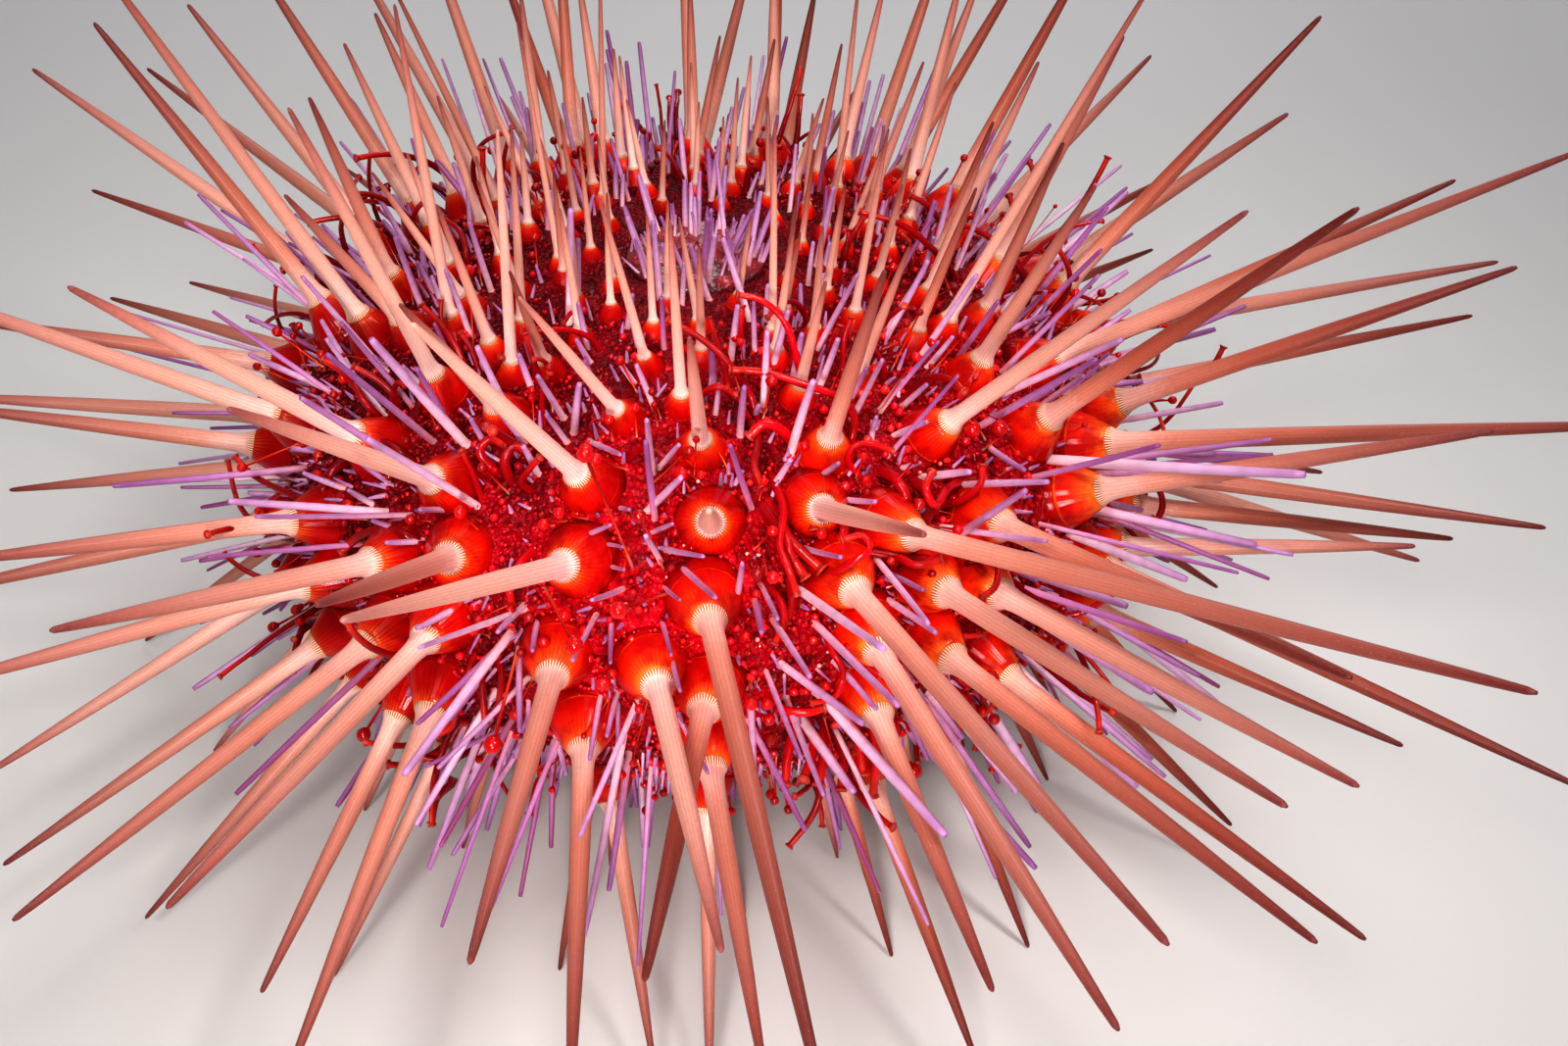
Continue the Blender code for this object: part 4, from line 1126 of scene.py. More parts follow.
for _ in range(FILLER_TRIES):
    longitude, latitude = extra.uniform(-180, 180), math.degrees(math.asin(extra.uniform(*SITE_SINES)))
    base, normal = skin(longitude, latitude)
    if nearest_collar(base) < 0.0005 or among_posed(base, 0.0045):
        continue
    if seen(longitude, latitude) and extra.uniform() < 0.7:
        continue
    heading = leaning(normal, 14, 34, extra)
    length = clear_of_floor(base, heading, by_latitude(latitude)[0] * (0.12 + 0.32 * extra.uniform() ** 2))
    if length > 0.003:
        thin_spines.append({"base": base, "heading": heading, "length": length,
                            "size": extra.uniform(0.6, 1.0), "place": (longitude, latitude),
                            "tint": extra.uniform(-0.6, 0.8)})
headings = each(thin_spines, "heading")
sizes = each(thin_spines, "size")
feet = 0.0004 * sizes
piece = stand("secondary_spines", each(thin_spines, "base") + headings * feet[:, None],
              headings, np.column_stack([sizes, sizes, each(thin_spines, "length") - feet]),
              each(thin_spines, "place"), secondary_form, lavender, SMALL_PATCH,
              each(thin_spines, "tint"),
              np.cross(headings, extra.normal(0, 1, (len(headings), 3))) * 0.00015)
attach(piece, "root")
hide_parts(*ZONE_NAMES)


# The miliary spines: a short violet down of the smallest spines, standing on the skin between all
# the others.
MILIARY_COUNT = 1700
MILIARY_OUTLINE = ((-0.0005, 0.00030), (0.0, 0.00026), (0.55, 0.00020), (1.0, 0.00011))
miliary_form = turned_form("miliary_form", MILIARY_OUTLINE, 5)
down = np.random.default_rng(13)


def free_sites(count, clear, draw):
    """Random sites on the skin that keep clear of the collars: longitude, latitude, base, normal."""
    while count:
        longitude, latitude = draw.uniform(-180, 180), math.degrees(math.asin(draw.uniform(*SITE_SINES)))
        base, normal = skin(longitude, latitude)
        if nearest_collar(base) > clear:
            count -= 1
            yield longitude, latitude, base, normal


rows = []
for longitude, latitude, base, normal in free_sites(MILIARY_COUNT, 0.0002, down):
    heading = leaning(normal, 14, 32, down)
    rows.append((base, heading, clear_of_floor(base, heading, down.uniform(0.0014, 0.0034)),
                 down.uniform(0.75, 1.25), (longitude, latitude), down.uniform(0, 0.5)))
at, headings, lengths, girths, sites, tint_of = (list(column) for column in zip(*rows))
piece = stand("miliary_spines", at, headings, np.column_stack([girths, girths, lengths]), sites,
              miliary_form, lavender, SMALL_PATCH, tint_of)
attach(piece, "root")
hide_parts(*ZONE_NAMES)


# The tube feet: long soft wet tubes, dark red, that leave the double rows of pores in each
# ambulacrum, droop and curl, and end in a small flared sucker.
TUBE_STEPS = 14
TUBE_SIDES = 7
TUBE_GIRTH = 0.00041
# The feet of the side that is seen: diameter in tenths of a millimetre, then the points from the
# root to the sucker, in the same unit from the middle of the test
FEET_POSED = (
    (8, 121, -263, 244, 112, -262, 276, 103, -255, 309, 91, -245, 331, 68, -241, 349, 44, -241, 355),
    (8, 68, -322, 233, 57, -302, 270, 36, -298, 303, 5, -284, 327, -30, -268, 340),
    (9, 167, -323, 220, 170, -311, 245, 151, -310, 270, 114, -309, 285, 72, -306, 299, 36, -305, 301),
    (6, 63, -322, 233, 47, -315, 267, 32, -318, 288), (6, 37, -269, 248, 26, -257, 291, 14, -239, 325),
    (7, 162, -258, 240, 163, -230, 287, 171, -214, 309),
    (7, 150, -217, 250, 152, -219, 280, 159, -215, 300),
    (8, 322, 0, 235, 314, -11, 258, 279, -43, 307, 250, -47, 333, 219, -50, 347, 194, -42, 351),
    (8, 368, 140, 207, 323, 83, 263, 298, 90, 290, 273, 91, 306),
    (8, 599, -87, 130, 618, -88, 140, 639, -84, 159, 651, -75, 182),
    (8, 503, 124, 190, 485, 143, 184, 468, 153, 194), (6, 503, 119, 181, 499, 128, 196, 497, 160, 222),
    (8, 564, -49, 113, 546, -41, 114, 500, -86, 156, 465, -134, 195),
    (8, 565, -212, 20, 570, -204, 33, 568, -193, 46, 560, -167, 50),
    (8, 270, -363, 169, 294, -366, 181, 309, -357, 191, 307, -345, 200),
    (9, 137, -433, 168, 171, -447, 172, 199, -453, 171, 237, -445, 160, 266, -425, 147, 261, -411, 149),
    (7, 213, -471, 75, 231, -484, 78, 259, -481, 81, 305, -458, 63),
    (9, 161, -491, 75, 171, -506, 86, 179, -517, 75, 189, -516, 65),
    (8, 313, -407, 84, 287, -424, 133, 302, -424, 137, 322, -420, 124, 329, -414, 101, 318, -417, 96),
    (8, 291, -434, -41, 306, -447, -49, 324, -434, -86, 332, -453, -49),
    (13, 68, -404, 198, 81, -437, 200, 100, -461, 192, 126, -484, 179),
    (12, 74, -397, 201, 89, -445, 199, 95, -469, 187, 110, -483, 169),
    (11, 83, -388, 205, 102, -415, 211, 117, -434, 209, 120, -446, 200),
    (9, 95, -464, 149, 97, -495, 144, 90, -514, 136),
    (10, 76, -518, 35, 88, -537, 34, 116, -542, 35, 131, -538, 37),
    (11, 106, -514, -16, 97, -546, -18, 93, -576, -37),
    (12, 134, -507, -18, 136, -537, -28, 129, -568, -46),
    (11, 151, -500, -40, 158, -529, -47, 154, -558, -66),
    (11, 171, -496, 24, 184, -523, 7, 191, -541, -32, 189, -555, -78),
    (11, 116, -512, 0, 125, -530, -29, 112, -573, -32), (10, 163, -499, -5, 172, -527, -16, 176, -555, -45),
    (9, 199, -486, 14, 210, -514, -1, 213, -533, -33),
    (9, -235, -466, 47, -242, -487, 35, -253, -505, 12, -262, -512, -18, -277, -514, -29),
    (9, -223, -473, 43, -227, -495, 24, -224, -519, -6),
    (8, -212, -474, 62, -202, -513, 57, -207, -525, 26),
    (9, -459, -256, -55, -470, -289, -65, -476, -338, -71, -473, -371, -84),
    (8, -409, -293, 108, -437, -290, 110, -458, -290, 119, -517, -239, 106, -544, -217, 119),
    (7, -501, -200, -19, -532, -212, 4, -560, -200, 33, -569, -180, 86),
    (8, -348, -249, 187, -367, -257, 222, -391, -231, 242, -420, -214, 254),
    (8, -334, -243, 196, -334, -262, 236, -351, -255, 254, -378, -247, 267),
    (7, -341, -259, 187, -339, -259, 223, -331, -256, 250, -321, -262, 252),
    (10, -308, -314, 179, -325, -309, 197, -350, -296, 202, -388, -277, 201, -423, -263, 182, -429, -265, 160),
    (9, -301, -331, 173, -326, -328, 187, -361, -309, 189, -397, -285, 176),
    (8, -255, -226, 229, -269, -205, 261, -289, -184, 281, -311, -168, 298),
    (6, -284, -192, 228, -291, -180, 260, -292, -152, 295),
    (7, -242, -223, 233, -253, -209, 264, -264, -203, 284),
    (8, -222, -240, 233, -225, -238, 254, -215, -242, 276),
    (7, -207, -134, 253, -216, -121, 283, -224, -120, 302),
    (8, -177, -376, 195, -183, -383, 213, -172, -390, 235, -161, -390, 249),
    (7, -228, -374, 180, -237, -369, 216, -246, -364, 239),
    (8, -284, -11, 245, -283, -12, 276, -292, 12, 295, -316, 42, 298),
    (11, -199, -361, 197, -203, -357, 220, -193, -348, 233, -177, -354, 228),
    (11, -216, -347, 199, -231, -342, 219, -220, -334, 231, -202, -341, 228),
    (12, -290, -395, 129, -309, -395, 147, -334, -378, 143, -365, -365, 125, -392, -357, 97),
    (11, -392, -265, 150, -410, -284, 151, -423, -293, 129, -402, -318, 122),
    (11, -250, -435, 110, -268, -433, 136, -291, -421, 132, -322, -409, 107),
    (7, -73, -357, 220, -57, -363, 240, -39, -373, 242, -26, -378, 236),
    (13, 199, -351, 202, 211, -376, 209, 221, -393, 196, 213, -408, 182),
    (12, 231, -353, 191, 243, -378, 197, 247, -395, 184, 234, -411, 171),
    (12, 123, -384, 202, 141, -413, 205, 152, -437, 193, 141, -447, 175),
    (8, 162, -460, 132, 176, -484, 127, 196, -487, 119, 218, -474, 115),
    (8, -11, -298, 242, 10, -314, 279, 25, -318, 288, 41, -316, 277),
    (6, -126, -147, 261, -140, -166, 288, -150, -186, 285),
    (12, 106, -340, 223, 92, -350, 253, 71, -352, 265, 56, -358, 253),
    (9, -169, -430, 160, -182, -455, 161, -191, -473, 144, -188, -480, 117),
    (9, 395, -339, 59, 409, -355, 52, 415, -367, 32, 407, -377, 24),
    (9, 517, -132, 49, 527, -161, 56, 521, -204, 67),
    (9, -167, -477, -121, -179, -494, -134, -187, -519, -154),
    (9, -11, -523, -36, -22, -537, -67, -15, -540, -111),
    (9, -277, -493, -135, -292, -507, -143, -296, -528, -159),
    (9, 79, -375, 215, 89, -432, 215, 83, -474, 204, 92, -496, 191, 100, -504, 165),
    (8, 124, -447, 162, 137, -485, 177, 155, -494, 199, 172, -487, 209, 165, -478, 219, 145, -480, 215),
    (9, 203, -446, 134, 206, -458, 171, 222, -475, 177, 247, -472, 183),
    (8, 262, -371, 171, 282, -384, 189, 298, -383, 209, 300, -373, 227),
    (7, 176, -365, 203, 160, -371, 229, 164, -368, 247, 183, -367, 250, 205, -365, 239),
    (9, 293, -336, 177, 265, -383, 204, 245, -427, 216, 233, -426, 235, 242, -399, 236),
    (8, 287, -408, 121, 295, -422, 147, 311, -449, 157, 304, -483, 157, 288, -500, 156),
    (7, 131, -490, 105, 136, -520, 106, 148, -539, 91, 141, -552, 69, 119, -548, 55),
    (8, 70, -472, 150, 83, -501, 156, 88, -521, 145, 79, -530, 123),
    (9, 55, -306, 241, 65, -360, 252, 59, -403, 251, 67, -420, 236),
)
wet = np.random.default_rng(17)


def test_level(point):
    """1 on the surface of the test, less inside it."""
    depth = TEST_RISE if point[2] >= 0 else TEST_DROP
    power = 2 / FULLNESS
    return (math.hypot(point[0], point[1]) / TEST_RADIUS) ** power + (abs(point[2]) / depth) ** power


def soft_path(base, heading, length, curl, droop, draw):
    """A drooping, curling line from the skin, kept off the test and above the floor."""
    points = [base - heading * 0.0008, base]
    bend = np.cross(heading, draw.normal(0, 1, 3))
    bend /= np.linalg.norm(bend)
    direction = np.array(heading)
    for count in range(TUBE_STEPS):
        share = count / TUBE_STEPS
        direction = (direction + bend * curl * (0.4 + share) + np.array([0, 0, -droop])
                     + draw.normal(0, 0.05, 3))
        direction /= np.linalg.norm(direction)
        point = points[-1] + direction * length / TUBE_STEPS
        if test_level(point) < 1.06 and count > 1:
            away = np.array([point[0], point[1], point[2] * 3])
            direction = direction + away / np.linalg.norm(away) * 0.6
            direction /= np.linalg.norm(direction)
            point = points[-1] + direction * length / TUBE_STEPS
        point[2] = max(point[2], -FLOOR_DROP + 0.0012)
        points.append(point)
    return points


def tube_tree():
    """Node group that turns lines into closed tubes with the girth given at each of their points."""
    nodes = Growth("tubes_on_lines", "Lines", ("Sides", "Int"))
    start = nodes.start
    girth = nodes.named("girth", "FLOAT")
    line = nodes.add("GeometryNodeMeshToCurve", {0: start})
    circle = nodes.add("GeometryNodeCurvePrimitiveCircle", {"Resolution": start.other("Sides"),
                                                            "Radius": 1.0})
    spot = nodes.add("GeometryNodeInputPosition")
    rim = nodes.add("GeometryNodeStoreNamedAttribute", {0: circle, "Name": "local", "Value": spot},
                    data_type="FLOAT_VECTOR", domain="POINT")
    tube = nodes.add("GeometryNodeCurveToMesh", {"Curve": line, "Profile Curve": rim, "Scale": girth,
                                                 "Fill Caps": True})
    return nodes.close(nodes.add("GeometryNodeRealizeInstances", {0: tube}))


TUBES = tube_tree()


def tubes(name, paths, girths, places, tint, finish, sides):
    """A piece of many tubes that follow the paths."""
    lines = bpy.data.meshes.new(name + "_lines")
    counts = [len(path) for path in paths]
    starts = np.concatenate([[0], np.cumsum(counts)[:-1]])
    edges = [(start + n, start + n + 1) for start, count in zip(starts, counts) for n in range(count - 1)]
    lines.from_pydata(np.concatenate(paths) + MIDDLE, edges, [])
    spread = unwrapped(*np.asarray(places, float).T)
    root = np.repeat(np.column_stack([spread, np.zeros(len(spread))]), counts, axis=0)
    values = {"root": root, "girth": np.concatenate(girths), "tint": np.repeat(tint, counts),
              "along": np.concatenate([np.linspace(0, 1, count) for count in counts])}
    for key, given in values.items():
        store(lines, key, given)
    return grown(name, lines, TUBES, {"Sides": sides, "Finish": finish.material}, SMALL_PATCH,
                 ("girth", "root"))


def rounded_line(points, count):
    """A smooth line of so many points through the given ones."""
    points = np.array([2 * points[0] - points[1], *points, 2 * points[-1] - points[-2]])
    line = []
    for place in np.linspace(1, len(points) - 2.0001, count):
        first, share = int(place) - 1, place % 1
        a, b, c, d = points[first:first + 4]
        line.append(b + 0.5 * share * (c - a + share * (2 * a - 5 * b + 4 * c - d
                                                       + share * (3 * (b - c) + d - a))))
    return np.array(line)


tube_paths, tube_girths, tube_sites, tube_tints = [], [], [], []
for girth, *values in FEET_POSED:
    line = rounded_line(np.array(values).reshape(-1, 3) / 10000, TUBE_STEPS + 1)
    site = place_of(line[0])
    line = np.vstack([line[0] - skin(*site)[1] * 0.0008, line])
    shape = np.interp(np.linspace(0, 1, len(line)), (0, 0.1, 0.5, 0.9, 1), (1.3, 1.1, 1.0, 0.85, 0.85))
    tube_paths.append(line)
    tube_girths.append(girth / 20000 * shape)
    tube_sites.append(site)
    tube_tints.append(wet.uniform(0.2, 1))
FEET_ROOTS = np.array([path[1] for path in tube_paths])
bottom, top = -58, 74
for middle in AMBU_MIDDLES:
    for side in (-1, 1):
        for latitude in np.linspace(bottom, top, 26):
            for turn in PORE_TURNS:
                longitude = middle + side * (turn + wet.uniform(-0.8, 0.8))
                latitude_here = latitude + wet.uniform(-1.5, 1.5)
                base, normal = skin(longitude, latitude_here)
                if wet.uniform() < 0.12 or nearest_collar(base) < -0.0006:
                    continue
                if np.linalg.norm(FEET_ROOTS - base, axis=1).min() < 0.0035 or wet.uniform() < latitude / 110:
                    continue
                length = (wet.uniform(0.008, 0.026)
                          * np.interp(latitude_here, (-25, 5, 35, 70), (0.42, 0.85, 0.9, 0.5)))
                girth = TUBE_GIRTH * wet.uniform(0.75, 1.25)
                heading = leaning(normal, 18, 40, wet)
                path = soft_path(base, heading, length, wet.uniform(-0.28, 0.28), wet.uniform(0.0, 0.10), wet)
                shape = np.interp(np.linspace(0, 1, len(path)), (0, 0.1, 0.5, 0.9, 1),
                                  (1.5, 1.15, 0.9, 0.75, 0.8))
                tube_paths.append(np.array(path))
                tube_girths.append(girth * shape)
                tube_sites.append((longitude, latitude_here))
                tube_tints.append(wet.uniform(0, 1))
tube_skin = Finish("tube_foot", Roughness=0.12, Specular_IOR_Level=0.35,
                   Subsurface_Weight=0.2, Subsurface_Scale=0.001, Subsurface_Radius=(1.0, 0.1, 0.08))
tint = tube_skin.attribute("tint")
along = tube_skin.attribute("along")
deep = tube_skin.blend(tint, rgb(0.18, 0.0006, 0.005), rgb(0.66, 0.0025, 0.011))
tube_skin.feed(Base_Color=tube_skin.blend(along ** 6.0 * 0.7, deep, rgb(0.75, 0.04, 0.02)))
tube_skin.relief(tube_skin.add("ShaderNodeTexNoise", {"Vector": tube_skin.place, "Scale": 3500.0}),
                 0.35, 0.00015)
# Painted light: the feet are brighter in the painted pool of light on the front right.
tube_tints = np.array(tube_tints) * [painted_light_pool(path[1]) ** 2 for path in tube_paths]
piece = tubes("tube_feet", tube_paths, tube_girths, tube_sites, tube_tints, tube_skin, TUBE_SIDES)
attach(piece, "root")
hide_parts(*AMBU_NAMES)

SUCKER_OUTLINE = ((-0.00045, 0.00030), (-0.00015, 0.00038), (0.0, 0.00052), (0.00010, 0.00056),
                  (0.00016, 0.00048), (0.00006, 0.00022))
sucker_form = turned_form("sucker_form", SUCKER_OUTLINE, 10)
sucker = Finish("sucker_rim", Roughness=0.35)
parts = sucker.form_place()
reach = (parts * parts + parts.other("Y") * parts.other("Y")) ** 0.5 * 1280.0
sucker.feed(Base_Color=sucker.ramp(reach, (0.0, (0.70, 0.10, 0.05)), (0.55, (0.30, 0.006, 0.010)),
                                   (0.9, (0.85, 0.10, 0.03))))
ends = [path[-1] for path in tube_paths]
headings = np.array([path[-1] - path[-2] for path in tube_paths])
headings /= np.linalg.norm(headings, axis=1, keepdims=True)
wide = np.array([girth[-1] / TUBE_GIRTH for girth in tube_girths]) * 1.15
piece = stand("tube_foot_suckers", ends, headings, np.column_stack([wide, wide, wide]), tube_sites,
              sucker_form, sucker, SMALL_PATCH, tube_tints)
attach(piece, "root")
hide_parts(*AMBU_NAMES)


# The pedicellariae: small jaws closed to a glossy red bead, each on a thin stalk that is white at
# its foot, scattered between the spines and thickest near the collars.
BEAD_JAWS = 640
JAW_FORM_GIRTH = 13
# The head in millimetres, its far end first, and then the stalk down to the skin
JAW_HEAD = ((-1.34, 0.16), (-1.22, 0.40), (-0.98, 0.58), (-0.66, 0.65), (-0.34, 0.54), (-0.10, 0.28))
JAW_STALK = ((0.0, 0.15), (0.5, 0.11), (0.85, 0.12), (1.0, 0.20))
# The jaws of the side that is seen: longitude, latitude, bearing, rise, length in millimetres,
# diameter of the head in tenths of one, and brightness in tenths
JAWS_POSED = (
    (-4, 31, -8, 54, 21, 14, 1), (-8, 31, -10, 59, 30, 15, 5), (8, 27, -7, 50, 10, 13, 0),
    (11, 27, -14, 46, 10, 14, 5), (-3, 27, -15, 37, 20, 17, 5), (6, 9, 1, 13, 4, 15, 5),
    (9, 8, -12, 13, 4, 14, 5), (10, 4, -21, 13, 4, 14, 3), (10, 0, -22, 9, 3, 14, 1),
    (26, -21, 44, -30, 4, 18, 3), (14, 7, 12, 30, 3, 10, 5), (12, 9, 11, 33, 3, 9, 5),
    (12, 5, 8, 41, 3, 8, 5), (17, 12, 9, 50, 3, 8, 5), (-19, 25, 15, 26, 20, 17, 4),
    (-17, 17, -9, 20, 3, 14, 4), (-8, 11, -23, 25, 5, 16, 4), (-4, 9, -10, 20, 3, 9, 5),
    (-21, 12, -3, 7, 15, 19, 3), (-43, -16, -35, -30, 7, 17, 2), (-29, 31, -23, 58, 6, 15, 5),
    (-25, 11, -30, 51, 3, 13, 5), (-29, -5, -3, 23, 3, 9, 5), (-28, -7, -12, 18, 3, 9, 5),
    (-36, -9, 0, -23, 5, 9, 3), (-59, -9, -58, -11, 7, 14, 4), (-15, 39, -22, 42, 8, 12, 5),
    (-18, 38, -16, 36, 7, 13, 5), (-15, 48, -27, 58, 5, 16, 5), (-11, 49, -26, 42, 8, 14, 5),
    (38, 59, 14, 61, 3, 14, 4), (49, 46, -1, 25, 7, 19, 4), (57, 38, -24, 30, 10, 19, 3),
    (60, 35, -35, 51, 4, 17, 5), (77, 22, 20, 35, 3, 16, 1), (57, 58, 7, 51, 3, 13, 5),
    (29, 7, 34, 13, 8, 18, 3), (48, 4, 9, 5, 3, 18, 3), (57, -5, 3, 12, 3, 15, 3), (39, 16, 4, 55, 3, 8, 6),
    (28, 32, 5, 53, 3, 9, 6), (18, 33, -18, 48, 8, 12, 5), (-2, 52, 9, 29, 12, 9, 5),
    (-8, 6, 20, 17, 4, 10, 5), (35, 37, -17, 31, 11, 12, 2),
)
jaw_form = turned_form("jaw_form", in_metres(JAW_HEAD, JAW_STALK), 8)
jaw_skin = Finish("jaw_bead", Roughness=0.07, Specular_IOR_Level=0.6)
height = jaw_skin.form_place().other("Z")
tint = jaw_skin.attribute("tint")
head = jaw_skin.blend(tint, rgb(0.26, 0.0005, 0.002), rgb(0.62, 0.002, 0.004))
stalk = jaw_skin.ramp(height, (0.0, (0.62, 0.01, 0.008)), (0.55, (0.75, 0.06, 0.02)),
                      (0.84, (0.90, 0.22, 0.08)),
                      (0.93, (0.98, 0.80, 0.70)))
in_head = jaw_skin.carry(height, -0.0002, 0.0, 1.0, 0.0)
jaw_skin.feed(Base_Color=jaw_skin.blend(in_head, stalk, head))
jaws = np.random.default_rng(19)
rows = []
for longitude, latitude, base, normal in free_sites(BEAD_JAWS, 0.0003, jaws):
    heading = leaning(normal, 24, 55, jaws)
    reach = 0.006 if latitude > 0 else 0.0
    length = clear_of_floor(base, heading, jaws.uniform(0.002, 0.005) + reach * jaws.uniform(0, 1) ** 4)
    size = jaws.uniform(0.45, 1.05)
    rows.append((base + heading * length, -heading, length, size, (longitude, latitude), jaws.uniform(0, 1)))
for longitude, latitude, azimuth, rise, length, girth, bright in JAWS_POSED:
    heading = bearing(azimuth, rise)
    rows.append((skin(longitude, latitude)[0] + heading * length / 1000, -heading, length / 1000,
                 girth / JAW_FORM_GIRTH, (longitude, latitude), bright / 6))
at, headings, lengths, girths, sites, tint_of = (list(column) for column in zip(*rows))
piece = stand("pedicellariae", at, headings, np.column_stack([girths, girths, lengths]), sites,
              jaw_form, jaw_skin, SMALL_PATCH, tint_of)
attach(piece, "root")
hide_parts(*ZONE_NAMES)


# The beads of the skin: small wet grains, red, the palest with painted pink-white glints, that
# crowd the skin between the spines, and larger round blobs among them that catch the light.
BEAD_COUNT = 9800
BLOB_COUNT = 2400


def bead_form(name, subdivisions):
    """A ball of unit size in millimetres, with few faces."""
    bm = bmesh.new()
    bmesh.ops.create_icosphere(bm, subdivisions=subdivisions, radius=0.001)
    mesh = bpy.data.meshes.new(name)
    bm.to_mesh(mesh)
    bm.free()
    points = np.array([vertex.co for vertex in mesh.vertices])
    # Heights are set to 0 so that the ball is scaled by its girth alone
    store(mesh, "local", points * (1, 1, 0))
    store(mesh, "along", points[:, 2] / 0.002 + 0.5)
    return bpy.data.objects.new(name, mesh)


wet_bead = Finish("skin_bead", Roughness=0.08, Specular_IOR_Level=0.8)
tint = wet_bead.attribute("tint")
# The pink-white top of the ramp is a painted glint.
wet_bead.feed(Base_Color=wet_bead.ramp(tint, (0.0, (0.10, 0.0004, 0.004)), (0.40, (0.48, 0.0006, 0.010)),
                                       (0.70, (0.86, 0.002, 0.016)), (0.94, (1.0, 0.035, 0.028)),
                                       (1.0, (1.0, 0.56, 0.46))))
grains = np.random.default_rng(23)
for piece_name, count, sizes, subdivisions in (("skin_beads", BEAD_COUNT, (0.12, 0.30), 1),
                                               ("skin_blobs", BLOB_COUNT, (0.24, 0.56), 2)):
    rows = []
    for longitude, latitude, base, normal in free_sites(count, -0.0002, grains):
        near = math.exp(-max(nearest_collar(base), 0) / 0.003)
        size = grains.uniform(*sizes)
        # Painted light: beads are brighter by the collars and in the painted pool of light on the front right.
        tint_here = grains.normal(0.42 + 0.30 * near, 0.24)
        tint_here = np.clip(tint_here, 0, 1.0 if subdivisions == 1 else 0.9) * painted_light_pool(base)
        rows.append((base + normal * (size * 0.0003 + 0.0009 * near), normal, size,
                     (longitude, latitude), tint_here))
    at, headings, girths, sites, tint_of = (list(column) for column in zip(*rows))
    form = bead_form(piece_name + "_form", subdivisions)
    piece = stand(piece_name, at, headings, np.column_stack([girths, girths, girths]), sites,
                  form, wet_bead, SMALL_PATCH, tint_of)
    bpy.data.objects.remove(form)
    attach(piece, "root")
    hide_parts(*ZONE_NAMES)


# The apical disc: five large genital plates, each with the pore that lets out the spawn, five
# small ocular plates between them, and the scaly periproct in the middle, under a thin red skin.
APICAL_ROUND = 140
APICAL_ROWS = 40
PERIPROCT_RADIUS = 0.0034
PERIPROCT_RISE = 0.0013
GENITAL_RING = 0.0058
APICAL_DEEP = 0.0030
GENITAL_PORES = 0.0072
APICAL_SPINES = 64
LONG_APICAL_SPINES = 14
apical_rim = profile(latitude_at(APICAL_RADIUS))[1]
apical_edge = APICAL_RADIUS - GAP
crown = TEST_RISE - apical_rim
APICAL_SLOPE = ((0.0, crown + PERIPROCT_RISE), (PERIPROCT_RADIUS * 0.3, crown + PERIPROCT_RISE),
                (PERIPROCT_RADIUS * 0.7, crown + PERIPROCT_RISE * 0.8), (apical_edge * 0.42, crown),
                (apical_edge * 0.55, crown * 0.7), (apical_edge, 0.0))


def plate_centres():
    """Centre, radius and rise of each plate of the disc, on plan."""
    for count in range(5):
        turn = ZONE_SHIFT + count * ZONE_TURN
        yield compass(turn) * GENITAL_RING, 0.0025, 0.00050
        yield compass(turn + ZONE_TURN / 2) * 0.0076, 0.0013, 0.00035
    for ring, number in ((0.0008, 4), (0.0019, 9), (0.0029, 14)):
        for count in range(number):
            yield compass(count * 360 / number + ring * 20000) * ring, 0.00062, 0.00022


def disc_height(flat):
    """Height of the disc over its rim at a point of its plan, and how much of a plate is there."""
    radius = math.hypot(flat[0], flat[1])
    marks, heights = zip(*APICAL_SLOPE)
    height, plate = float(np.interp(radius, marks, heights)), 0.0
    for centre, size, rise in PLATES:
        apart = math.hypot(flat[0] - centre[0], flat[1] - centre[1]) / size
        share = 1 / (1 + apart ** 6)
        height += rise * share
        plate = max(plate, share)
    for count in range(5):
        pore = compass(ZONE_SHIFT + count * ZONE_TURN) * GENITAL_PORES
        dent = math.exp(-(math.hypot(flat[0] - pore[0], flat[1] - pore[1]) / 0.00035) ** 2)
        height -= 0.0006 * dent
        plate *= 1 - dent
    return height + noise.fractal(Vector((flat[0], flat[1], 0)) * 900, 0.8, 2.1, 3) * 0.00012, plate


def face_outward(mesh):
    bm = bmesh.new()
    bm.from_mesh(mesh)
    bmesh.ops.recalc_face_normals(bm, faces=bm.faces)
    bm.to_mesh(mesh)
    bm.free()


def ringed_mesh(name, rows, ends):
    """A closed skin through rows of points round the axis, fanned to the two end points."""
    around = len(rows[0])
    mesh = bpy.data.meshes.new(name)
    points = np.concatenate(rows + [np.array(ends)]) + MIDDLE
    first_end = around * len(rows)
    faces = [(row * around + turn, (row + 1) * around + turn, (row + 1) * around + (turn + 1) % around,
              row * around + (turn + 1) % around) for row in range(len(rows) - 1) for turn in range(around)]
    faces += [(first_end, turn, (turn + 1) % around) for turn in range(around)]
    faces += [(first_end + 1, around * (len(rows) - 1) + (turn + 1) % around, around * (len(rows) - 1) + turn)
              for turn in range(around)]
    mesh.from_pydata(points, [], faces)
    face_outward(mesh)
    mesh.shade_smooth()
    return mesh


def flat_unwrap(mesh, span):
    """Unwraps a disc by its plan, for the bake."""
    points = np.zeros(len(mesh.vertices) * 3, "f")
    mesh.vertices.foreach_get("co", points)
    bake_map(mesh, (points.reshape(-1, 3)[:, :2] - MIDDLE[:2]) / span * UNWRAP_SPAN + 0.5)


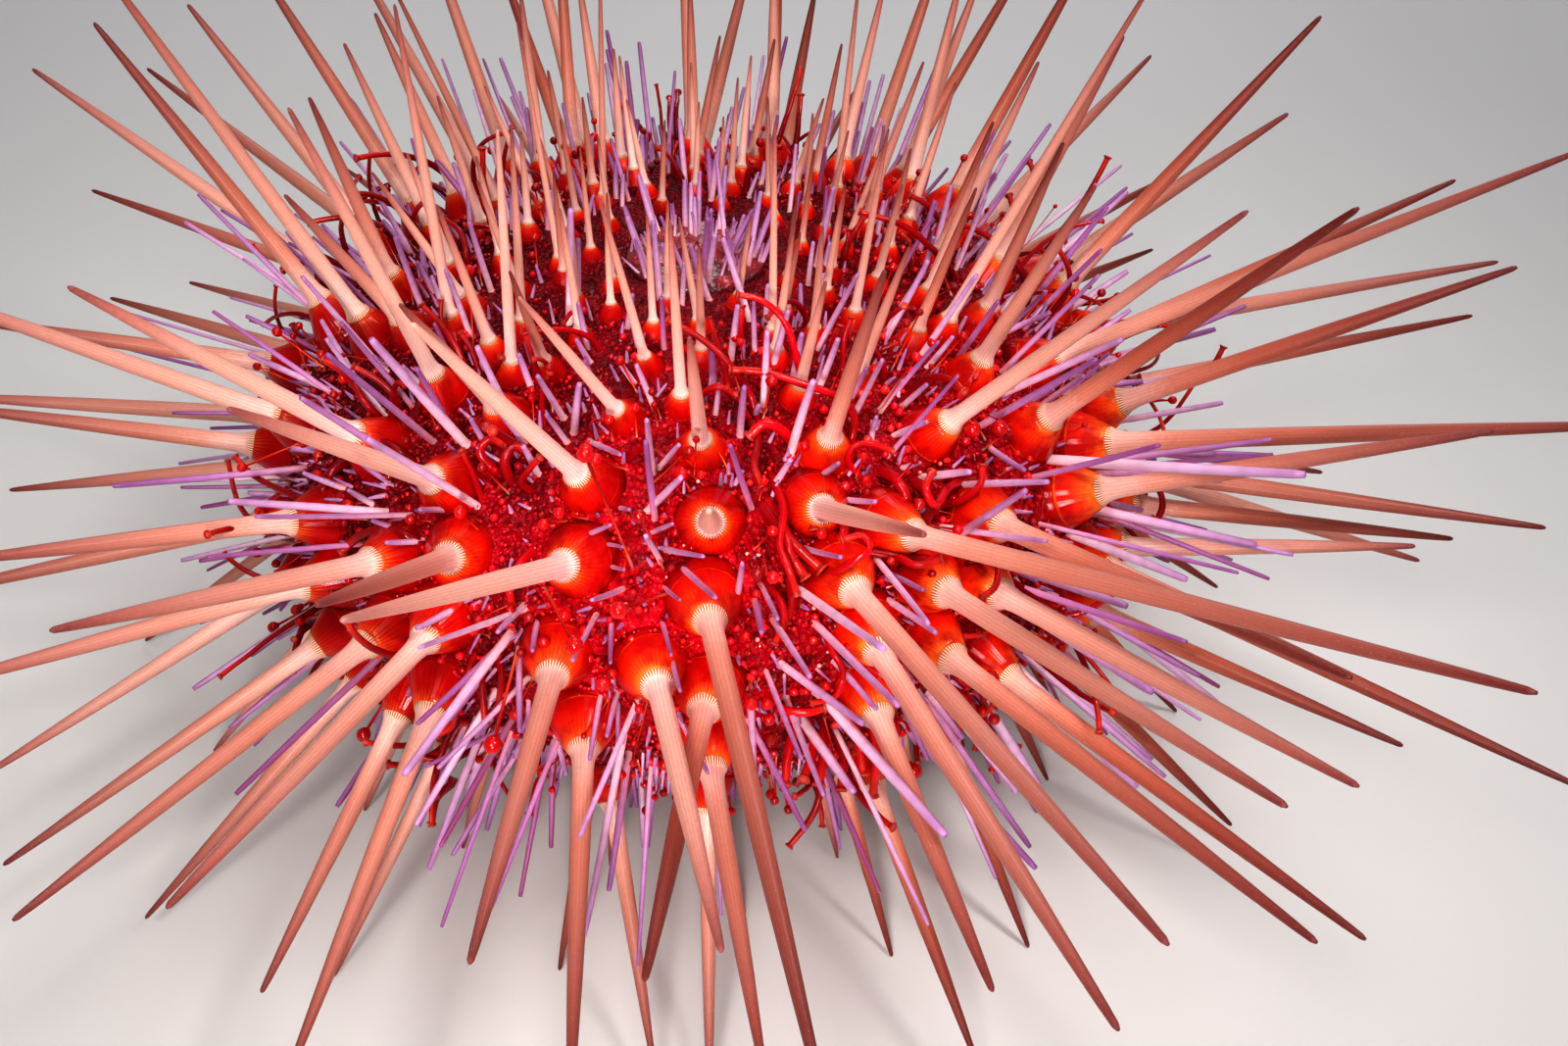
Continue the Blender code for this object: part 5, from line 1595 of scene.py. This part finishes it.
PLATES = list(plate_centres())
around = [compass(turn) for turn in np.arange(APICAL_ROUND) * 360 / APICAL_ROUND]
rows, plate_share = [], []
for radius in np.linspace(0.0002, apical_edge, APICAL_ROWS):
    heights = [disc_height(out * radius) for out in around]
    rows.append(np.array([out * radius + np.array([0, 0, apical_rim + height])
                          for out, (height, _) in zip(around, heights)]))
    plate_share += [share for _, share in heights]
for shrink, deep in ((1.0, 0.0008), (0.98, APICAL_DEEP)):
    rows.append(np.array([out * apical_edge * shrink + np.array([0, 0, apical_rim - deep])
                          for out in around]))
    plate_share += [0.0] * APICAL_ROUND
centre_height = apical_rim + disc_height(np.zeros(3))[0]
disc_mesh = ringed_mesh("apical_plates", rows, [(0, 0, centre_height), (0, 0, apical_rim - APICAL_DEEP)])
store(disc_mesh, "plate", plate_share + [1.0, 0.0])
flat_unwrap(disc_mesh, 2 * apical_edge)
disc_skin = Finish("apical_skin", Coat_Weight=0.6, Coat_Roughness=0.12, Subsurface_Weight=0.1,
                   Subsurface_Scale=0.001)
mottle = disc_skin.cloud(700, 4)
plate = disc_skin.attribute("plate")
low = disc_skin.blend(mottle, rgb(0.030, 0.002, 0.006), rgb(0.12, 0.003, 0.010))
high = disc_skin.blend(mottle, rgb(0.22, 0.006, 0.014), rgb(0.50, 0.020, 0.020))
disc_skin.feed(Base_Color=disc_skin.blend(plate * (mottle * 0.6 + 0.5), low, high),
               Roughness=mottle * 0.25 + 0.2)
disc_skin.relief(disc_skin.cells(2200) * -1.0, 0.6, 0.0002)
disc_mesh.materials.append(disc_skin.material)
piece = put("apical_plates", disc_mesh)
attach(piece, "root")
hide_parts("apical_disc")

# Small spines of the disc: ten longer ones at its edge, and a short down over the plates
crest = np.random.default_rng(29)
rows = []
for count in range(5):
    for side in (-1, 1):
        root = compass(ZONE_SHIFT + (count + side * 0.25) * ZONE_TURN) * (apical_edge - 0.0016)
        rows.append((root, bearing(ZONE_SHIFT + count * ZONE_TURN + side * 26, 72),
                     0.007 + 0.001 * side, 0.9))
for count in range(APICAL_SPINES):
    away = apical_edge * 0.97 * math.sqrt(crest.uniform(0.10, 1.0))
    turn = crest.uniform(0, 360)
    heading = leaning(bearing(turn, 76), 10, 25, crest)
    long = count < LONG_APICAL_SPINES
    rows.append((compass(turn) * away, heading, crest.uniform(0.005, 0.010) if long else
                 crest.uniform(0.0016, 0.0036), crest.uniform(0.55, 0.85) if long else 0.38))
at = np.array([root + np.array([0, 0, apical_rim + disc_height(root)[0]]) for root, _, _, _ in rows])
headings, lengths, girths = (np.array(column) for column in list(zip(*rows))[1:])
piece = stand("apical_spines", at, headings, np.column_stack([girths, girths, lengths]),
              [(place_of(root)[0], latitude_at(max(np.linalg.norm(root), 0.0003))) for root, _, _, _ in rows],
              secondary_form, lavender, SMALL_PATCH, crest.uniform(0, 0.8, len(rows)))
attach(piece, "root")
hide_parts("apical_disc")


# The peristome: the soft maroon membrane round the mouth, creased towards its lips, with five
# pairs of short stout buccal feet.
PERISTOME_ROUND = 160
LIPS_RADIUS = 0.0046
LIPS_DROP = 0.0022
MOUTH_DEPTH = 0.0060
BUCCAL_RADIUS = 0.0088
sill = profile(-latitude_at(MOUTH_RADIUS))[1]
mouth_edge = MOUTH_RADIUS - GAP
ceiling = MOUTH_DEPTH - GAP
# Section of the membrane, from the outer edge over the sag to the lips and up inside: radius, height
SECTION = ((mouth_edge, ceiling), (mouth_edge, 0.0016), (mouth_edge * 0.97, 0.0002),
           (mouth_edge * 0.88, -LIPS_DROP * 0.35), (mouth_edge * 0.75, -LIPS_DROP * 0.62),
           (mouth_edge * 0.62, -LIPS_DROP * 0.84), (LIPS_RADIUS * 1.35, -LIPS_DROP),
           (LIPS_RADIUS * 1.12, -LIPS_DROP * 0.97), (LIPS_RADIUS, -LIPS_DROP * 0.7), (LIPS_RADIUS, ceiling))
along_section = np.linspace(0, len(SECTION) - 1, 46)
radii, heights = (np.interp(along_section, np.arange(len(SECTION)), column) for column in zip(*SECTION))
turns = np.arange(PERISTOME_ROUND) * 360 / PERISTOME_ROUND
around = np.array([compass(turn) for turn in turns])
rows = []
for radius, height in zip(radii, heights):
    inward = np.clip((mouth_edge - radius) / (mouth_edge - LIPS_RADIUS), 0, 1)
    crease = np.cos(np.radians(turns) * 30) * 0.00022 * inward
    ripple = math.sin(radius * 9000) * 0.00012 * (0 < inward < 1)
    row = around * radius
    row[:, 2] = sill + height + crease * (height < ceiling * 0.9) + ripple
    rows.append(row)
membrane_mesh = bpy.data.meshes.new("peristome_membrane")
count = len(rows)
membrane_mesh.from_pydata(
    np.concatenate(rows) + MIDDLE, [],
    [(row * PERISTOME_ROUND + turn, (row + 1) % count * PERISTOME_ROUND + turn,
      (row + 1) % count * PERISTOME_ROUND + (turn + 1) % PERISTOME_ROUND,
      row * PERISTOME_ROUND + (turn + 1) % PERISTOME_ROUND)
     for row in range(count) for turn in range(PERISTOME_ROUND)])
face_outward(membrane_mesh)
membrane_mesh.shade_smooth()
flat_unwrap(membrane_mesh, 2 * mouth_edge)
membrane = Finish("mouth_membrane", Coat_Weight=0.6, Coat_Roughness=0.12, Subsurface_Weight=0.15,
                  Subsurface_Scale=0.001)
mottle = membrane.cloud(900, 4)
membrane.feed(Base_Color=membrane.blend(mottle, rgb(0.07, 0.002, 0.008), rgb(0.38, 0.012, 0.020)),
              Roughness=mottle * 0.25 + 0.2)
membrane.relief(membrane.cells(1800) * -1.0, 0.6, 0.0002)
membrane_mesh.materials.append(membrane.material)
piece = put("peristome_membrane", membrane_mesh)
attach(piece, "root")
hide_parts("peristome")

buccal = np.random.default_rng(31)
paths, girths, sites = [], [], []
for middle in AMBU_MIDDLES:
    for side in (-1, 1):
        longitude = middle + side * 12
        base = compass(longitude) * BUCCAL_RADIUS + np.array([0, 0, sill - LIPS_DROP * 0.55])
        path = [base + np.array([0, 0, 0.0008])]
        for step in range(9):
            path.append(path[-1] + compass(longitude + buccal.uniform(-20, 20)) * 0.00012 * step
                        + np.array([0, 0, -0.00055]))
        paths.append(np.array(path))
        girths.append(np.interp(np.linspace(0, 1, len(path)), (0, 0.6, 1), (0.00095, 0.0007, 0.0008)))
        sites.append((longitude, -72))
piece = tubes("buccal_feet", paths, girths, sites, buccal.uniform(0, 1, len(paths)), tube_skin, 12)
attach(piece, "root")
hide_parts("peristome")


# The mouth: five hard white teeth that close to a point, each a curved keeled blade held in the
# dark muscle on the end of the lantern.
muscle_rows = []
turns = np.arange(60) * 6.0
for radius, height in ((0.0006, 0.0022), (0.0016, 0.0019), (0.0028, 0.0013), (0.0038, 0.0013),
                       (0.0042, 0.0018),
                       (0.0043, 0.0026), (0.0043, ceiling)):
    row = np.array([compass(turn) * radius for turn in turns])
    fold = np.cos(np.radians((turns - ZONE_SHIFT) * 5)) * 0.0003
    row[:, 2] = sill + height + fold * (height < 0.0020)
    muscle_rows.append(row)
muscle_mesh = ringed_mesh("lantern_muscle", muscle_rows, [(0, 0, sill + 0.0024), (0, 0, sill + ceiling)])
flat_unwrap(muscle_mesh, 2 * mouth_edge)
muscle_mesh.materials.append(membrane.material)
piece = put("lantern_muscle", muscle_mesh)
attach(piece, "root")
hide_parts("lantern_teeth")

TOOTH_STEPS = 14
TOOTH_HALF_WIDTH = 0.00115
# Radius and height over the sill of a tooth at its root, and how far it runs inwards and down
TOOTH_ROOT = (0.0032, 0.0023)
TOOTH_RUN = (0.0025, 0.0058)
# Cross-section of a tooth, across and inwards, in shares of its half width: a blade with a keel
TOOTH_SECTION = ((-1.0, 0.0), (-0.55, -0.38), (0.0, -0.5), (0.55, -0.38), (1.0, 0.0), (0.35, 0.22),
                 (0.22, 0.85),
                 (-0.22, 0.85), (-0.35, 0.22))
tooth_points, tooth_faces, tooth_uv = [], [], []
sides = len(TOOTH_SECTION)
for count in range(5):
    longitude = ZONE_SHIFT + count * ZONE_TURN
    outward, across = compass(longitude), compass(longitude + 90)
    start = len(tooth_points)
    for step in range(TOOTH_STEPS + 1):
        share = step / TOOTH_STEPS
        radius = TOOTH_ROOT[0] - TOOTH_RUN[0] * share ** 1.4
        height = sill + TOOTH_ROOT[1] - TOOTH_RUN[1] * share
        half = TOOTH_HALF_WIDTH * (1 - 0.80 * max(share - 0.55, 0) / 0.45)
        for over, inward in TOOTH_SECTION:
            tooth_points.append(outward * (radius - inward * half * 0.8) + across * over * half
                                + np.array([0, 0, height]))
            tooth_uv.append((0.1 + 0.18 * count + 0.06 * over, 0.1 + 0.8 * share))
    for step in range(TOOTH_STEPS):
        for turn in range(sides):
            here = start + step * sides
            tooth_faces.append((here + turn, here + (turn + 1) % sides, here + sides + (turn + 1) % sides,
                                here + sides + turn))
    tooth_faces.append(tuple(start + turn for turn in range(sides)))
    tooth_faces.append(tuple(start + TOOTH_STEPS * sides + turn for turn in reversed(range(sides))))
tooth_mesh = bpy.data.meshes.new("teeth")
tooth_mesh.from_pydata(np.array(tooth_points) + MIDDLE, [], tooth_faces)
face_outward(tooth_mesh)
bake_map(tooth_mesh, np.array(tooth_uv))
enamel = Finish("tooth_enamel", Coat_Weight=0.4)
worn = enamel.cloud(1500, 4)
enamel.feed(Base_Color=enamel.blend(worn, rgb(0.80, 0.74, 0.60), rgb(0.90, 0.87, 0.80)),
            Roughness=worn * 0.3 + 0.2)
enamel.relief(worn, 0.4, 0.0001)
tooth_mesh.materials.append(enamel.material)
piece = put("teeth", tooth_mesh)
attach(piece, "root")
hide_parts("lantern_teeth")

for form in (primary_form, collar_form, secondary_form, miliary_form, sucker_form, jaw_form):
    bpy.data.objects.remove(form)
